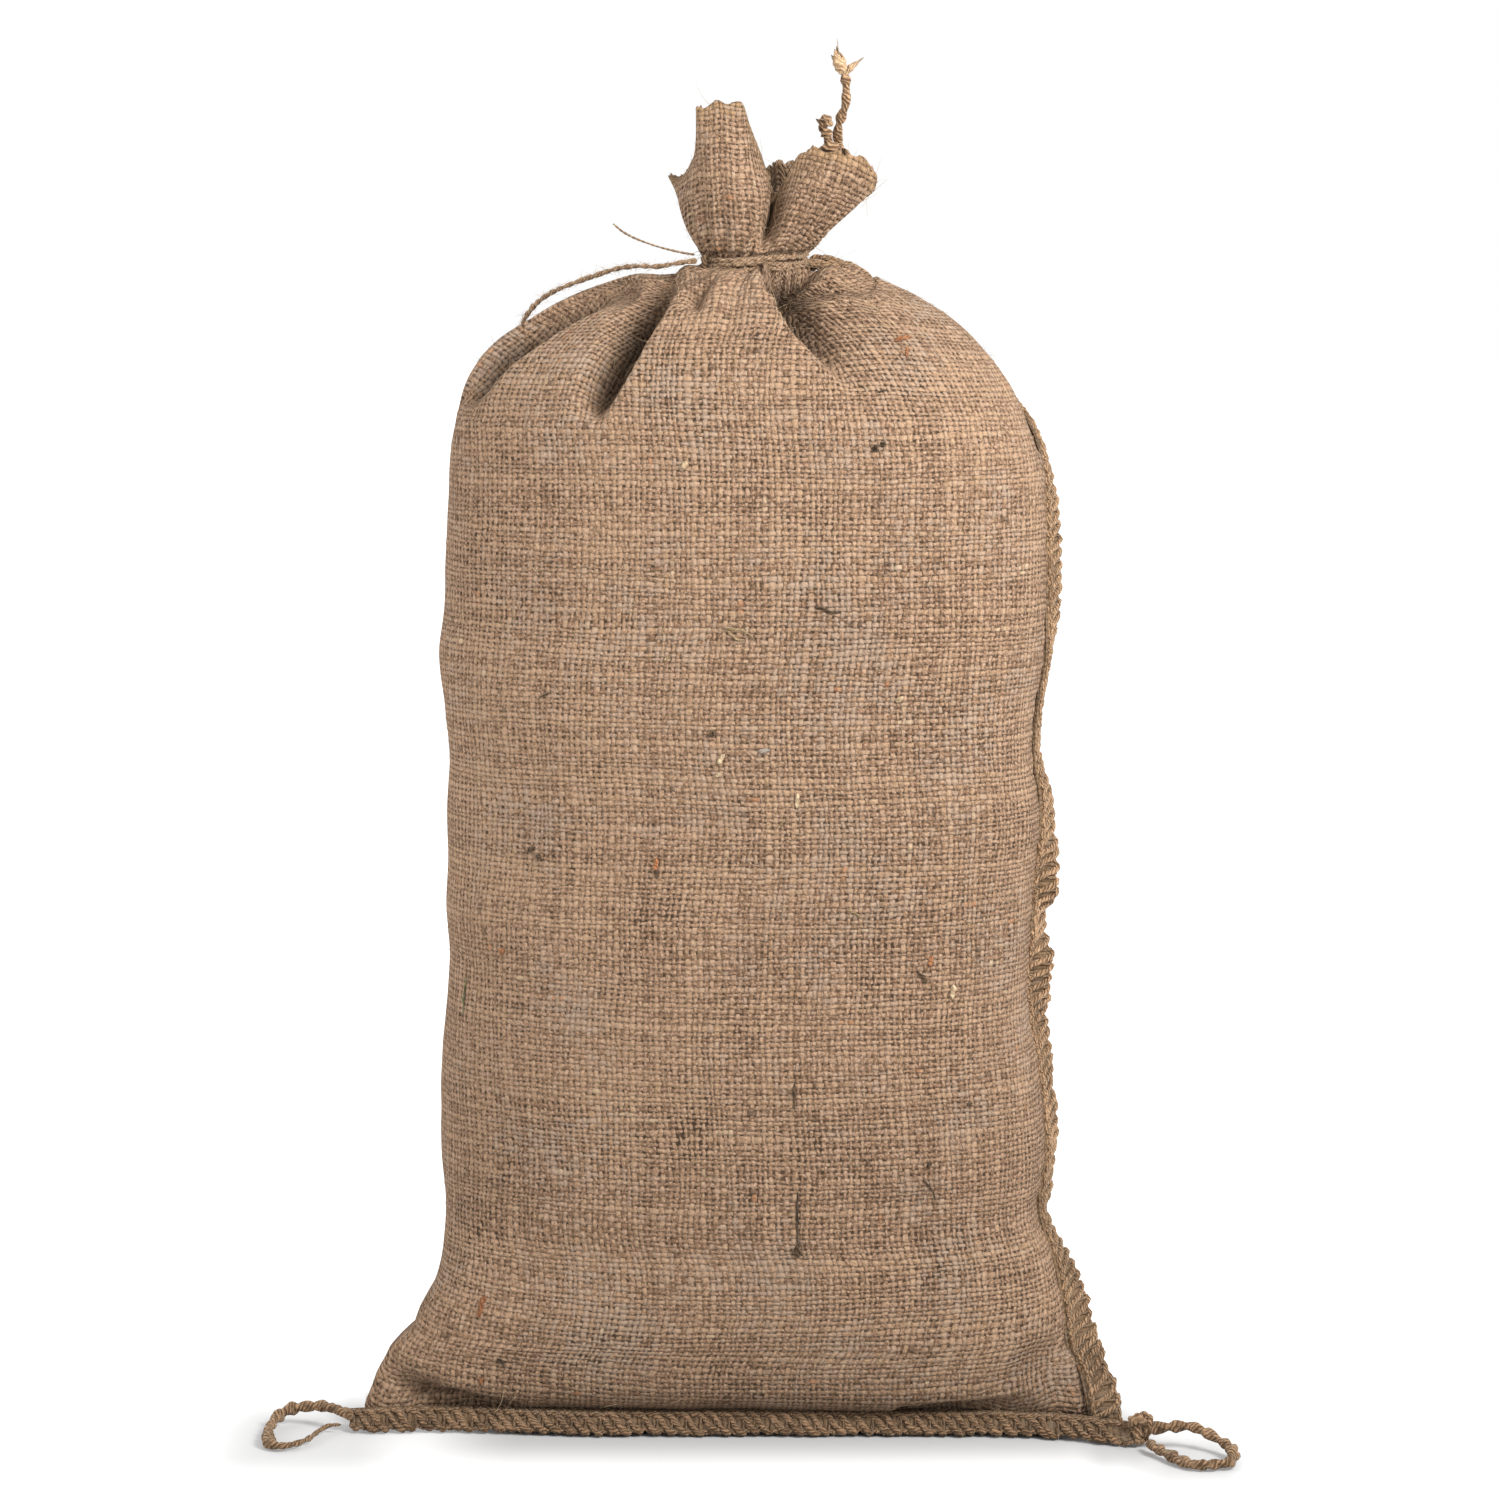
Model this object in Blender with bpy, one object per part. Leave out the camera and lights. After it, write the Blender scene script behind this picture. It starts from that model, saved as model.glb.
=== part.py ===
"""A small burlap sack, filled, standing upright and tied at the neck with jute twine.

The cloth is one length folded at the sack's left side, so the sewn edge runs down the right side only and
along the bottom. The bottom seam is pushed to the front, where the belly overhangs it, and its two corners
stick out as dog ears. Above the tie the open mouth stands up as a ring of cloth with two ears in front.
Units in the tables are millimetres and degrees; the scene is in metres. +X is right and -Y is the front.
"""

import math

import bmesh
import bpy
import numpy as np
from mathutils import Vector

MM = 0.001
COLUMNS = 64  # points round each section of the cloth
CLOTH_WALL = 1.6  # the mouth above the tie, where the cloth stands as a wall

# Sections of the filled body, bottom to top. left and right are the side fold and the seam line, with their own
# places front to back in left_y and right_y. front and back are the furthest that each panel bulges. point says
# how the panels meet at the sides: under 1 rounded, over 1 drawn out flat, as in the dog ears.
SECTION = ("height", "left", "right", "front", "back", "left_y", "right_y", "point")
SECTIONS = (
    (0.0, -118.0, 112.0, -50.0, 46.0, -26.0, -28.0, 1.00),
    (2.5, -150.0, 134.0, -55.0, 53.0, -52.0, -60.0, 1.50),
    (8.0, -151.5, 134.6, -58.0, 58.0, -55.0, -63.0, 1.50),
    (12.0, -150.5, 134.4, -66.0, 61.0, -54.0, -62.0, 1.45),
    (16.0, -149.0, 133.6, -69.0, 63.0, -52.0, -60.0, 1.40),
    (22.0, -145.0, 131.5, -70.5, 65.0, -49.0, -57.0, 1.30),
    (30.0, -133.5, 127.2, -71.5, 66.0, -44.0, -52.0, 1.15),
    (40.0, -132.5, 125.2, -72.0, 67.0, -37.0, -46.0, 1.00),
    (52.0, -125.0, 122.5, -72.0, 67.0, -28.0, -38.0, 0.90),
    (66.0, -122.0, 119.0, -71.5, 67.0, -18.0, -30.0, 0.86),
    (80.0, -121.5, 113.8, -71.0, 66.5, -10.0, -24.0, 0.85),
    (100.0, -124.0, 116.7, -70.0, 66.0, -4.0, -19.0, 0.85),
    (120.0, -124.3, 115.7, -69.0, 65.5, 0.0, -16.0, 0.85),
    (140.0, -123.3, 112.7, -68.0, 65.0, 0.0, -15.0, 0.85),
    (160.0, -121.0, 109.4, -67.0, 65.0, 0.0, -15.0, 0.85),
    (180.0, -120.0, 109.8, -66.5, 64.5, 0.0, -15.0, 0.85),
    (200.0, -121.5, 111.2, -66.0, 64.5, 0.0, -15.0, 0.85),
    (220.0, -120.5, 112.7, -66.0, 64.5, 0.0, -15.0, 0.85),
    (240.0, -120.5, 114.2, -66.0, 64.5, 0.0, -15.0, 0.85),
    (260.0, -119.5, 111.0, -66.0, 65.0, 0.0, -15.0, 0.85),
    (280.0, -121.5, 111.6, -65.5, 64.5, 0.0, -15.0, 0.85),
    (300.0, -123.0, 114.8, -64.5, 64.0, 0.0, -15.0, 0.85),
    (320.0, -120.5, 115.5, -63.5, 63.0, 0.0, -15.0, 0.86),
    (340.0, -119.5, 115.1, -62.0, 62.0, 0.0, -14.0, 0.87),
    (360.0, -118.5, 114.4, -60.0, 60.5, 0.0, -13.0, 0.88),
    (378.0, -118.0, 113.2, -57.5, 58.5, 1.0, -10.0, 0.90),
    (392.0, -116.0, 109.0, -54.5, 56.0, 2.0, -5.0, 0.92),
    (404.0, -113.0, 104.0, -51.0, 53.0, 2.0, 0.0, 0.95),
    (414.0, -107.5, 98.0, -47.5, 50.0, 2.0, 2.0, 0.98),
    (423.0, -99.5, 90.5, -43.5, 46.5, 2.0, 3.0, 1.00),
    (431.0, -87.0, 81.0, -39.5, 42.5, 2.0, 3.0, 1.00),
    (437.0, -77.0, 72.0, -36.0, 39.0, 2.0, 3.0, 1.00),
    (442.0, -67.0, 62.0, -32.5, 35.5, 1.0, 2.0, 1.00),
    (446.0, -56.0, 51.0, -29.5, 32.0, 1.0, 1.0, 1.00),
    (449.3, -44.0, 41.5, -26.0, 27.5, 0.0, 0.0, 1.00),
    (450.8, -32.5, 32.5, -22.0, 22.5, 0.0, 0.0, 1.00),
    (449.8, -24.5, 26.0, -18.7, 19.0, 0.0, 0.0, 1.00),
    (448.0, -19.2, 22.4, -17.2, 17.4, 0.0, 0.0, 1.00),
    (453.5, -18.4, 21.6, -16.8, 16.8, 0.0, 0.0, 1.00),
    (458.0, -18.4, 21.6, -16.8, 16.8, 0.0, 0.0, 1.00),
)
NECK_WIDTH = 20.0  # half the width of the tied neck
SHOULDER_HEIGHT = 380.0  # below it the body has no folds

# Folds that run down and outwards from the neck. Angles go round from the left side (0) by the front (90), the
# right side (180) and the back (270), at the neck and where the fold ends. reach is half the sack's width at that
# end. before and after are the fold's widths on its two sides: a narrow side is the crisp edge of a pleat.
FOLD = ("neck", "end", "reach", "depth", "before", "after")
FOLDS = (
    (14.0, 17.0, 116.0, 10.0, 11.0, 7.0),
    (48.0, 64.0, 112.0, 13.0, 14.0, 6.0),
    (67.0, 68.0, 50.0, 4.5, 6.0, 6.0),
    (101.0, 115.0, 108.0, 10.0, 6.0, 20.0),
    (112.0, 165.0, 56.0, 4.5, 9.0, 10.0),
    (230.0, 228.0, 112.0, 10.0, 8.0, 10.0),
    (248.0, 250.0, 80.0, 7.0, 7.0, 9.0),
    (264.0, 262.0, 114.0, 12.0, 11.0, 8.0),
    (288.0, 291.0, 90.0, 8.0, 8.0, 8.0),
    (310.0, 306.0, 110.0, 11.0, 8.0, 12.0),
    (336.0, 340.0, 85.0, 8.0, 8.0, 8.0),
)

# The mouth's edge, standing above the tie: the left ear, the valley between the ears, the right ear, and the
# ruffles of the back.
RIM = ("angle", "x", "y", "height")
RIM_POINTS = (
    (4.0, -24.5, 21.0, 488.0),
    (12.0, -30.5, 14.0, 487.5),
    (20.0, -25.5, 9.0, 489.5),
    (28.0, -20.5, 3.0, 496.5),
    (36.0, -18.7, -4.0, 505.5),
    (45.0, -19.7, -10.5, 513.0),
    (58.0, -11.5, -12.0, 515.5),
    (70.0, -3.5, -9.0, 515.0),
    (78.0, -0.2, -4.5, 506.0),
    (86.0, 5.5, 0.0, 493.0),
    (92.0, 8.5, 5.0, 491.0),
    (97.0, 12.0, 8.5, 495.5),
    (102.0, 16.0, 4.0, 495.5),
    (107.0, 18.3, -4.0, 496.0),
    (115.0, 22.5, -11.0, 497.5),
    (126.0, 30.5, -15.0, 497.5),
    (137.0, 35.0, -16.0, 496.8),
    (148.0, 41.0, -14.0, 494.0),
    (158.0, 46.5, -9.0, 489.5),
    (168.0, 48.0, -3.0, 483.5),
    (178.0, 45.5, 3.0, 480.5),
    (190.0, 43.0, 8.0, 486.0),
    (200.0, 39.0, 11.0, 494.0),
    (210.0, 35.0, 15.0, 498.0),
    (226.0, 31.5, 21.5, 494.5),
    (242.0, 23.0, 19.5, 491.0),
    (256.0, 20.0, 28.0, 490.0),
    (270.0, 12.5, 21.5, 488.0),
    (284.0, 8.0, 30.0, 489.0),
    (298.0, 1.5, 22.5, 488.0),
    (312.0, -3.5, 31.0, 490.0),
    (326.0, -10.0, 23.5, 491.0),
    (340.0, -16.0, 30.0, 492.0),
    (352.0, -20.0, 25.0, 490.0),
)
MOUTH_ROWS = 7  # rows of faces from the tie to the rim
CUP_ROWS = 4  # rows of the mouth's inner wall, below which the gathered cloth fills the neck

# The sewn edge up the right side: where it leaves the cloth (angle), how far it is folded back against it
# (swing, 0 straight out and 90 flat against the cloth), and its width.
SEAM = ("height", "angle", "swing", "width")
SIDE_SEAM = (
    (11.0, 180.0, 0.0, 9.5),
    (24.0, 180.0, 44.0, 9.5),
    (32.0, 180.0, 10.0, 9.5),
    (40.0, 180.0, 33.0, 9.5),
    (50.0, 180.0, 70.0, 9.5),
    (60.0, 180.0, 84.0, 9.5),
    (76.0, 180.0, 84.0, 9.5),
    (88.0, 180.0, 68.0, 9.5),
    (101.0, 180.0, 73.0, 9.5),
    (114.0, 180.0, 62.0, 9.5),
    (126.0, 180.0, 66.0, 9.5),
    (140.0, 180.0, 56.0, 9.5),
    (154.0, 180.0, 50.0, 9.5),
    (168.0, 180.0, 28.0, 9.5),
    (179.0, 180.0, 10.0, 9.5),
    (189.0, 180.0, 56.0, 9.5),
    (199.0, 180.0, 64.0, 9.5),
    (209.0, 180.0, 12.0, 9.5),
    (220.0, 180.0, 30.0, 9.5),
    (232.0, 180.0, 61.0, 9.5),
    (245.0, 180.0, 70.0, 9.5),
    (258.0, 180.0, 80.0, 9.5),
    (270.0, 180.0, 84.0, 9.5),
    (285.0, 180.0, 84.0, 9.5),
    (298.0, 180.0, 84.0, 9.5),
    (307.0, 180.0, 77.0, 9.5),
    (320.0, 180.0, 64.0, 9.5),
    (343.0, 180.0, 62.0, 9.5),
    (355.0, 180.0, 64.0, 9.5),
    (367.0, 180.0, 73.0, 9.5),
    (382.0, 184.0, 80.0, 9.0),
    (392.0, 189.0, 80.0, 9.0),
    (404.0, 195.0, 80.0, 8.5),
    (414.0, 199.0, 80.0, 8.5),
    (423.0, 203.0, 80.0, 8.0),
    (431.0, 206.0, 80.0, 7.5),
    (437.0, 208.0, 80.0, 7.0),
    (442.0, 209.0, 80.0, 7.0),
)
SEAM_THICK = 2.4
SEAM_LIFT, SEAM_FLAT_LIFT = 1.2, 1.35  # from the cloth to the band, where it stands out and where it lies flat
SEAM_AT_NECK = 210.0  # the angle at which it passes under the tie, pressed thin
TIED_SEAM_WIDTH, TIED_SEAM_THICK = 5.5, 1.5
MOUTH_SEAM_WIDTH, MOUTH_SEAM_SWING = 6.5, 62.0

# The sewn edge along the bottom, from the left corner to the right one: its upper line, where the cloth goes in.
BOTTOM_SEAM = (
    (-153.5, -59.5, 6.4),
    (-140.0, -60.5, 6.6),
    (-110.0, -61.0, 6.6),
    (-70.0, -61.0, 6.6),
    (-30.0, -61.0, 6.6),
    (10.0, -61.0, 6.6),
    (50.0, -61.0, 6.6),
    (90.0, -61.5, 6.6),
    (112.0, -63.5, 6.6),
    (130.0, -68.0, 6.6),
    (146.4, -74.0, 6.4),
)
BOTTOM_SEAM_DROP = (0.0, -6.0, -5.2)  # from its upper line to its free edge

TIE_HEIGHT = 454.0
TIE_TALL, TIE_THICK = 4.6, 2.4  # two turns of twine, one above the other
TIE_CLEAR = 0.8
TIE_OVER_SEAM, TIE_RISE = 4.2, 3.6  # further out and up where it crosses the seam
TIE_POINTS = 40

# Routes of the cords, each from where it leaves the object.
TIE_END_LONG = (
    (-20.5, -12.0, 454.8),
    (-27.2, -12.5, 454.0),
    (-35.7, -12.5, 452.6),
    (-43.9, -9.5, 452.6),
    (-51.5, -5.0, 451.6),
    (-61.4, 0.0, 448.4),
    (-69.8, 4.5, 445.4),
    (-77.9, 9.5, 441.8),
    (-84.5, 15.0, 437.2),
    (-89.5, 21.5, 430.8),
    (-91.5, 28.5, 424.4),
    (-90.0, 35.0, 419.5),
)
TIE_END_THIN = (
    (-21.5, -9.5, 457.0),
    (-27.0, -11.0, 458.0),
    (-35.0, -12.0, 460.0),
    (-43.1, -12.0, 462.8),
    (-48.8, -12.0, 465.6),
    (-53.1, -12.0, 469.0),
)
CORNER_LOOP_LEFT = (
    (-155.5, -61.5, 6.5),
    (-161.4, -57.5, 7.4),
    (-167.1, -53.5, 7.8),
    (-173.1, -51.3, 7.2),
    (-180.7, -50.2, 5.8),
    (-185.7, -54.1, 3.8),
    (-187.8, -64.0, 2.6),
    (-187.6, -74.0, 2.4),
    (-185.4, -83.0, 2.2),
    (-181.4, -85.6, 2.0),
    (-176.4, -83.0, 1.8),
    (-171.6, -76.4, 1.8),
    (-168.3, -66.6, 2.0),
    (-164.8, -61.8, 2.6),
    (-160.2, -62.6, 3.2),
)
CORNER_LOOP_RIGHT = (
    (156.5, -80.6, 7.0),
    (162.6, -83.0, 8.4),
    (170.7, -82.4, 8.6),
    (175.6, -84.2, 7.2),
    (180.4, -88.0, 5.4),
    (184.6, -93.4, 3.8),
    (185.2, -100.6, 2.6),
    (182.6, -107.0, 2.2),
    (177.2, -108.8, 2.1),
    (170.9, -109.6, 2.1),
    (165.6, -105.6, 2.1),
    (160.4, -98.0, 2.6),
    (156.2, -91.2, 3.2),
    (153.4, -85.2, 3.4),
)
SEAM_TAIL = (
    (34.8, 17.5, 499.4),
    (34.4, 15.5, 503.0),
    (34.8, 13.5, 507.0),
    (36.0, 12.0, 511.0),
    (37.4, 10.0, 515.0),
    (37.6, 9.5, 519.5),
    (37.4, 9.0, 524.0),
    (36.6, 8.5, 528.5),
    (34.6, 8.0, 534.0),
)
TWINE, THIN_STRAND = 2.4, 1.1  # diameters
LEFT_TAIL, RIGHT_TAIL, MOUTH_TAIL = 3.4, 3.6, 3.2
STEP_DIAMETERS = 2.6  # between the points of a cord's tube

KNOT_CENTRE = (151.8, -78.5, 6.0)
KNOT_RADII = (4.4, 5.0, 5.4)
STUB_CENTRE = (29.6, 12.5, 505.5)
STUB_RADII = (2.6, 2.2, 4.4)

JUTE = (0.40, 0.29, 0.19, 1.0)
JUTE_THREAD = (0.44, 0.30, 0.16, 1.0)
JUTE_TWINE = (0.38, 0.27, 0.17, 1.0)


def clear_scene():
    for old in list(bpy.data.objects):
        bpy.data.objects.remove(old)


def material(name, colour):
    made = bpy.data.materials.new(name)
    made.use_nodes = True
    shader = made.node_tree.nodes["Principled BSDF"]
    shader.inputs["Base Color"].default_value = colour
    shader.inputs["Roughness"].default_value = 0.95
    shader.inputs["Metallic"].default_value = 0.0
    return made


def add_object(name, data, colour):
    made = bpy.data.objects.new(name, data)
    bpy.context.scene.collection.objects.link(made)
    data.materials.append(material(name + "_finish", colour))
    return made


def section_ring(section, angles):
    """The points of one level section, going round from the left side by the front."""
    row = dict(zip(SECTION, section))
    along = (1.0 - np.cos(angles)) / 2.0
    x = row["left"] + (row["right"] - row["left"]) * along
    chord = row["left_y"] + (row["right_y"] - row["left_y"]) * along
    middle = (row["left_y"] + row["right_y"]) / 2.0
    bulge = np.abs(np.sin(angles)) ** row["point"]
    in_front = np.sin(angles) > 0.0
    y = np.where(in_front, chord - (middle - row["front"]) * bulge, chord + (row["back"] - middle) * bulge)
    return np.stack([x, y, np.full_like(x, row["height"])], axis=1)


def surface_normals(rows):
    """Outward unit normals of a grid of rows that go round anticlockwise, seen from above, and upwards."""
    around = np.roll(rows, -1, axis=1) - np.roll(rows, 1, axis=1)
    upward = np.gradient(rows, axis=0)
    normals = np.cross(around, upward)
    return normals / np.linalg.norm(normals, axis=2, keepdims=True)


def fold_depths(angles, half_widths):
    """How far the folds take each point of the grid inwards."""
    degrees = np.degrees(angles)
    depths = np.zeros((len(half_widths), len(angles)))
    for fold in FOLDS:
        row = dict(zip(FOLD, fold))
        for i, half_width in enumerate(half_widths):
            run = (half_width - NECK_WIDTH) / (row["reach"] - NECK_WIDTH)
            if run >= 1.0:
                continue
            run = max(run, 0.0)
            centre = row["neck"] + (row["end"] - row["neck"]) * run
            away = (degrees - centre + 180.0) % 360.0 - 180.0
            width = np.where(away < 0.0, row["before"], row["after"])
            trough = np.exp(-((away / width) ** 2))
            strength = (0.5 + 0.5 * min(1.0, run / 0.3)) * (1.0 - run**4)
            depths[i] = np.maximum(depths[i], row["depth"] * strength * trough)
    return depths


def body_rows(angles, folded):
    rows = np.stack([section_ring(section, angles) for section in SECTIONS])
    if not folded:
        return rows
    half_widths = [(row[2] - row[1]) / 2.0 if row[0] > SHOULDER_HEIGHT else math.inf for row in SECTIONS]
    return rows - surface_normals(rows) * fold_depths(angles, half_widths)[:, :, None]


def round_spline(values, places, period):
    """Catmull-Rom values at the given places, through rows whose first column goes round with that period."""
    table = np.array(values, float)
    at = np.concatenate([table[-2:, 0] - period, table[:, 0], table[:3, 0] + period])
    data = np.concatenate([table[-2:, 1:], table[:, 1:], table[:3, 1:]])
    slopes = (data[2:] - data[:-2]) / (at[2:] - at[:-2])[:, None]
    at, data = at[1:-1], data[1:-1]
    i = np.clip(np.searchsorted(at, places, side="right") - 1, 0, len(at) - 2)
    span = at[i + 1] - at[i]
    t = ((places - at[i]) / span)[:, None]
    span = span[:, None]
    return (
        (2 * t**3 - 3 * t**2 + 1) * data[i]
        + (t**3 - 2 * t**2 + t) * span * slopes[i]
        + (3 * t**2 - 2 * t**3) * data[i + 1]
        + (t**3 - t**2) * span * slopes[i + 1]
    )


def mouth_rows(neck, angles):
    """Rows from the top of the tied neck to the rim, each column a curve that rises first and then flares."""
    rim = round_spline(RIM_POINTS, np.degrees(angles), 360.0)
    lean = np.array([0.35, 0.35, 0.5])
    control = neck + (rim - neck) * lean
    rows = []
    for t in np.linspace(0.0, 1.0, MOUTH_ROWS + 1)[1:]:
        rows.append((1 - t) ** 2 * neck + 2 * t * (1 - t) * control + t**2 * rim)
    return np.stack(rows)


def skin(rings, last_point):
    """A closed mesh through the rings, flat across the first and drawn to a point past the last."""
    bm = bmesh.new()
    loops = [[bm.verts.new(Vector(point) * MM) for point in ring] for ring in rings]
    count = len(loops[0])
    for lower, upper in zip(loops, loops[1:]):
        for j in range(count):
            k = (j + 1) % count
            bm.faces.new((lower[j], lower[k], upper[k], upper[j]))
    bm.faces.new(reversed(loops[0]))
    tip = bm.verts.new(Vector(last_point) * MM)
    for j in range(count):
        bm.faces.new((loops[-1][j], loops[-1][(j + 1) % count], tip))
    mesh = bpy.data.meshes.new("skin")
    bm.to_mesh(mesh)
    bm.free()
    return mesh


def cloth_grid(angles, folded=True):
    """The outside of the whole cloth, body and mouth, as rows of points."""
    body = body_rows(angles, folded)
    return np.concatenate([body, mouth_rows(body[-1], angles)])


def make_sack():
    angles = np.arange(COLUMNS) * 2.0 * math.pi / COLUMNS
    outside = cloth_grid(angles)
    inside = outside - surface_normals(outside) * CLOTH_WALL
    cup = inside[-1 : -1 - CUP_ROWS : -1]
    cup[0] = outside[-1] + (cup[0] - outside[-1]) * [1.0, 1.0, 0.0]
    floor = cup[-1].mean(axis=0) - [0.0, 0.0, 3.0]
    mesh = skin(np.concatenate([outside, cup]), floor)
    mesh.name = "sack_cloth"
    add_object("sack_cloth", mesh, JUTE)


def strip(name, inner, across, normals, thicknesses, colour):
    """A flat band: inner is its sewn edge, across goes from there to its free edge."""
    rings = []
    for edge, over, normal, thickness in zip(inner, across, normals, thicknesses):
        half = normal * thickness / 2.0
        rings.append([edge - half, edge + over - half, edge + over + half, edge + half])
    bm = bmesh.new()
    loops = [[bm.verts.new(Vector(point) * MM) for point in ring] for ring in rings]
    for lower, upper in zip(loops, loops[1:]):
        for j in range(4):
            k = (j + 1) % 4
            bm.faces.new((lower[j], lower[k], upper[k], upper[j]))
    bm.faces.new(reversed(loops[0]))
    bm.faces.new(loops[-1])
    bmesh.ops.recalc_face_normals(bm, faces=bm.faces)
    mesh = bpy.data.meshes.new(name)
    bm.to_mesh(mesh)
    bm.free()
    add_object(name, mesh, colour)


def unit(vectors):
    return vectors / np.linalg.norm(vectors, axis=-1, keepdims=True)


def make_side_seam():
    """The band follows the cloth's seam line up the body, round behind the shoulder, under the tie and up the
    back of the right ear to the mouth."""
    fine = np.arange(360) * math.pi / 180.0
    grid = cloth_grid(fine, folded=False)
    normals = surface_normals(grid)
    tangents = unit(np.roll(grid, -1, axis=1) - np.roll(grid, 1, axis=1))
    heights = np.array([section[0] for section in SECTIONS[:33]])
    stations = [dict(zip(SEAM, row)) for row in SIDE_SEAM]
    rows = [np.interp(s["height"], heights, np.arange(len(heights))) for s in stations]
    for row in range(len(heights), len(grid)):
        tight = len(SECTIONS) - 5 <= row <= len(SECTIONS)
        width = TIED_SEAM_WIDTH if tight else MOUTH_SEAM_WIDTH
        swing = 85.0 if tight else MOUTH_SEAM_SWING
        stations.append({"angle": SEAM_AT_NECK, "swing": swing, "width": width, "tight": tight})
        rows.append(float(row))
    inner, across, faces, thicknesses = [], [], [], []
    for station, row in zip(stations, rows):
        low = min(int(row), len(grid) - 2)
        share = row - low
        column = int(round(station["angle"])) % 360
        point, normal, tangent = (
            data[low, column] * (1.0 - share) + data[low + 1, column] * share
            for data in (grid, normals, tangents)
        )
        swing = math.radians(station["swing"])
        out = unit(normal * math.cos(swing) + tangent * math.sin(swing))
        face = unit(normal * math.sin(swing) - tangent * math.cos(swing))
        thick = TIED_SEAM_THICK if station.get("tight") else SEAM_THICK
        flat = abs(math.sin(swing))
        lift = SEAM_LIFT * (1.0 - flat) + (thick / 2.0 + SEAM_FLAT_LIFT) * flat
        inner.append(point + normal * lift)
        across.append(out * station["width"])
        faces.append(face)
        thicknesses.append(thick)
    strip("side_seam", inner, across, faces, thicknesses, JUTE_THREAD)


def make_bottom_seam():
    inner = np.array(BOTTOM_SEAM)
    drop = np.array(BOTTOM_SEAM_DROP)
    along = unit(np.gradient(inner, axis=0))
    faces = unit(np.cross(np.broadcast_to(drop, inner.shape), along))
    strip("bottom_seam", inner, [drop] * len(inner), faces, [SEAM_THICK] * len(inner), JUTE_THREAD)


def make_neck_tie():
    """Two turns of twine as one ring. It rises over the side seam where that passes beneath it."""
    neck = dict(zip(SECTION, SECTIONS[-2]))
    middle = (neck["left"] + neck["right"]) / 2.0
    half_x = (neck["right"] - neck["left"]) / 2.0
    half_y = neck["back"]
    angles = np.arange(TIE_POINTS) * 2.0 * math.pi / TIE_POINTS
    degrees = np.degrees(angles)
    over_seam = np.clip(1.8 - np.abs(degrees - SEAM_AT_NECK - 7.0) / 20.0, 0.0, 1.0)
    out = np.stack([-np.cos(angles), -np.sin(angles)], axis=1)
    clear = TIE_CLEAR + TIE_OVER_SEAM * over_seam
    centre = np.array([middle, 0.0]) + out * [half_x, half_y] + out * clear[:, None]
    profile = [(0.0, -0.5), (0.5, -0.38), (1.0, -0.2), (1.0, 0.2), (0.5, 0.38), (0.0, 0.5)]
    bm = bmesh.new()
    loops = []
    for place, away, over in zip(centre, out, over_seam):
        middle_height = TIE_HEIGHT + TIE_RISE * over
        loop = []
        for thick, tall in profile:
            x, y = place + away * thick * TIE_THICK
            loop.append(bm.verts.new(Vector((x, y, middle_height + tall * TIE_TALL)) * MM))
        loops.append(loop)
    for this, following in zip(loops, loops[1:] + loops[:1]):
        for j in range(len(profile)):
            k = (j + 1) % len(profile)
            bm.faces.new((this[j], following[j], following[k], this[k]))
    bmesh.ops.recalc_face_normals(bm, faces=bm.faces)
    mesh = bpy.data.meshes.new("neck_tie")
    bm.to_mesh(mesh)
    bm.free()
    add_object("neck_tie", mesh, JUTE_TWINE)


def smooth_route(points, step):
    """Points a step apart along a Catmull-Rom curve through the route's own points."""
    route = np.array(points, float)
    ends = np.concatenate([[2 * route[0] - route[1]], route, [2 * route[-1] - route[-2]]])
    fine = []
    for a, b, c, d in zip(ends, ends[1:], ends[2:], ends[3:]):
        for t in np.linspace(0.0, 1.0, 16, endpoint=False):
            fine.append(
                0.5 * (2 * b + (c - a) * t + (2 * a - 5 * b + 4 * c - d) * t**2 + (3 * b - a - 3 * c + d) * t**3)
            )
    fine.append(route[-1])
    fine = np.array(fine)
    along = np.concatenate([[0.0], np.cumsum(np.linalg.norm(np.diff(fine, axis=0), axis=1))])
    at = np.linspace(0.0, along[-1], max(4, int(round(along[-1] / step)) + 1))
    return np.stack([np.interp(at, along, fine[:, k]) for k in range(3)], axis=1)


def make_cord(name, route, diameter, colour):
    curve = bpy.data.curves.new(name, "CURVE")
    curve.dimensions = "3D"
    curve.bevel_depth = diameter / 2.0 * MM
    curve.bevel_resolution = 2
    curve.use_fill_caps = True
    points = smooth_route(route, diameter * STEP_DIAMETERS)
    spline = curve.splines.new("POLY")
    spline.points.add(len(points) - 1)
    for place, point in zip(spline.points, points):
        place.co = (*(point * MM), 1.0)
    add_object(name, curve, colour)


def make_lump(name, centre, radii, colour):
    """A knot or a tuft, its outer form only."""
    bm = bmesh.new()
    bmesh.ops.create_icosphere(bm, subdivisions=2, radius=1.0)
    bmesh.ops.scale(bm, vec=Vector(radii) * MM, verts=bm.verts)
    bmesh.ops.translate(bm, vec=Vector(centre) * MM, verts=bm.verts)
    mesh = bpy.data.meshes.new(name)
    bm.to_mesh(mesh)
    bm.free()
    mesh.shade_smooth()
    add_object(name, mesh, colour)


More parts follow.
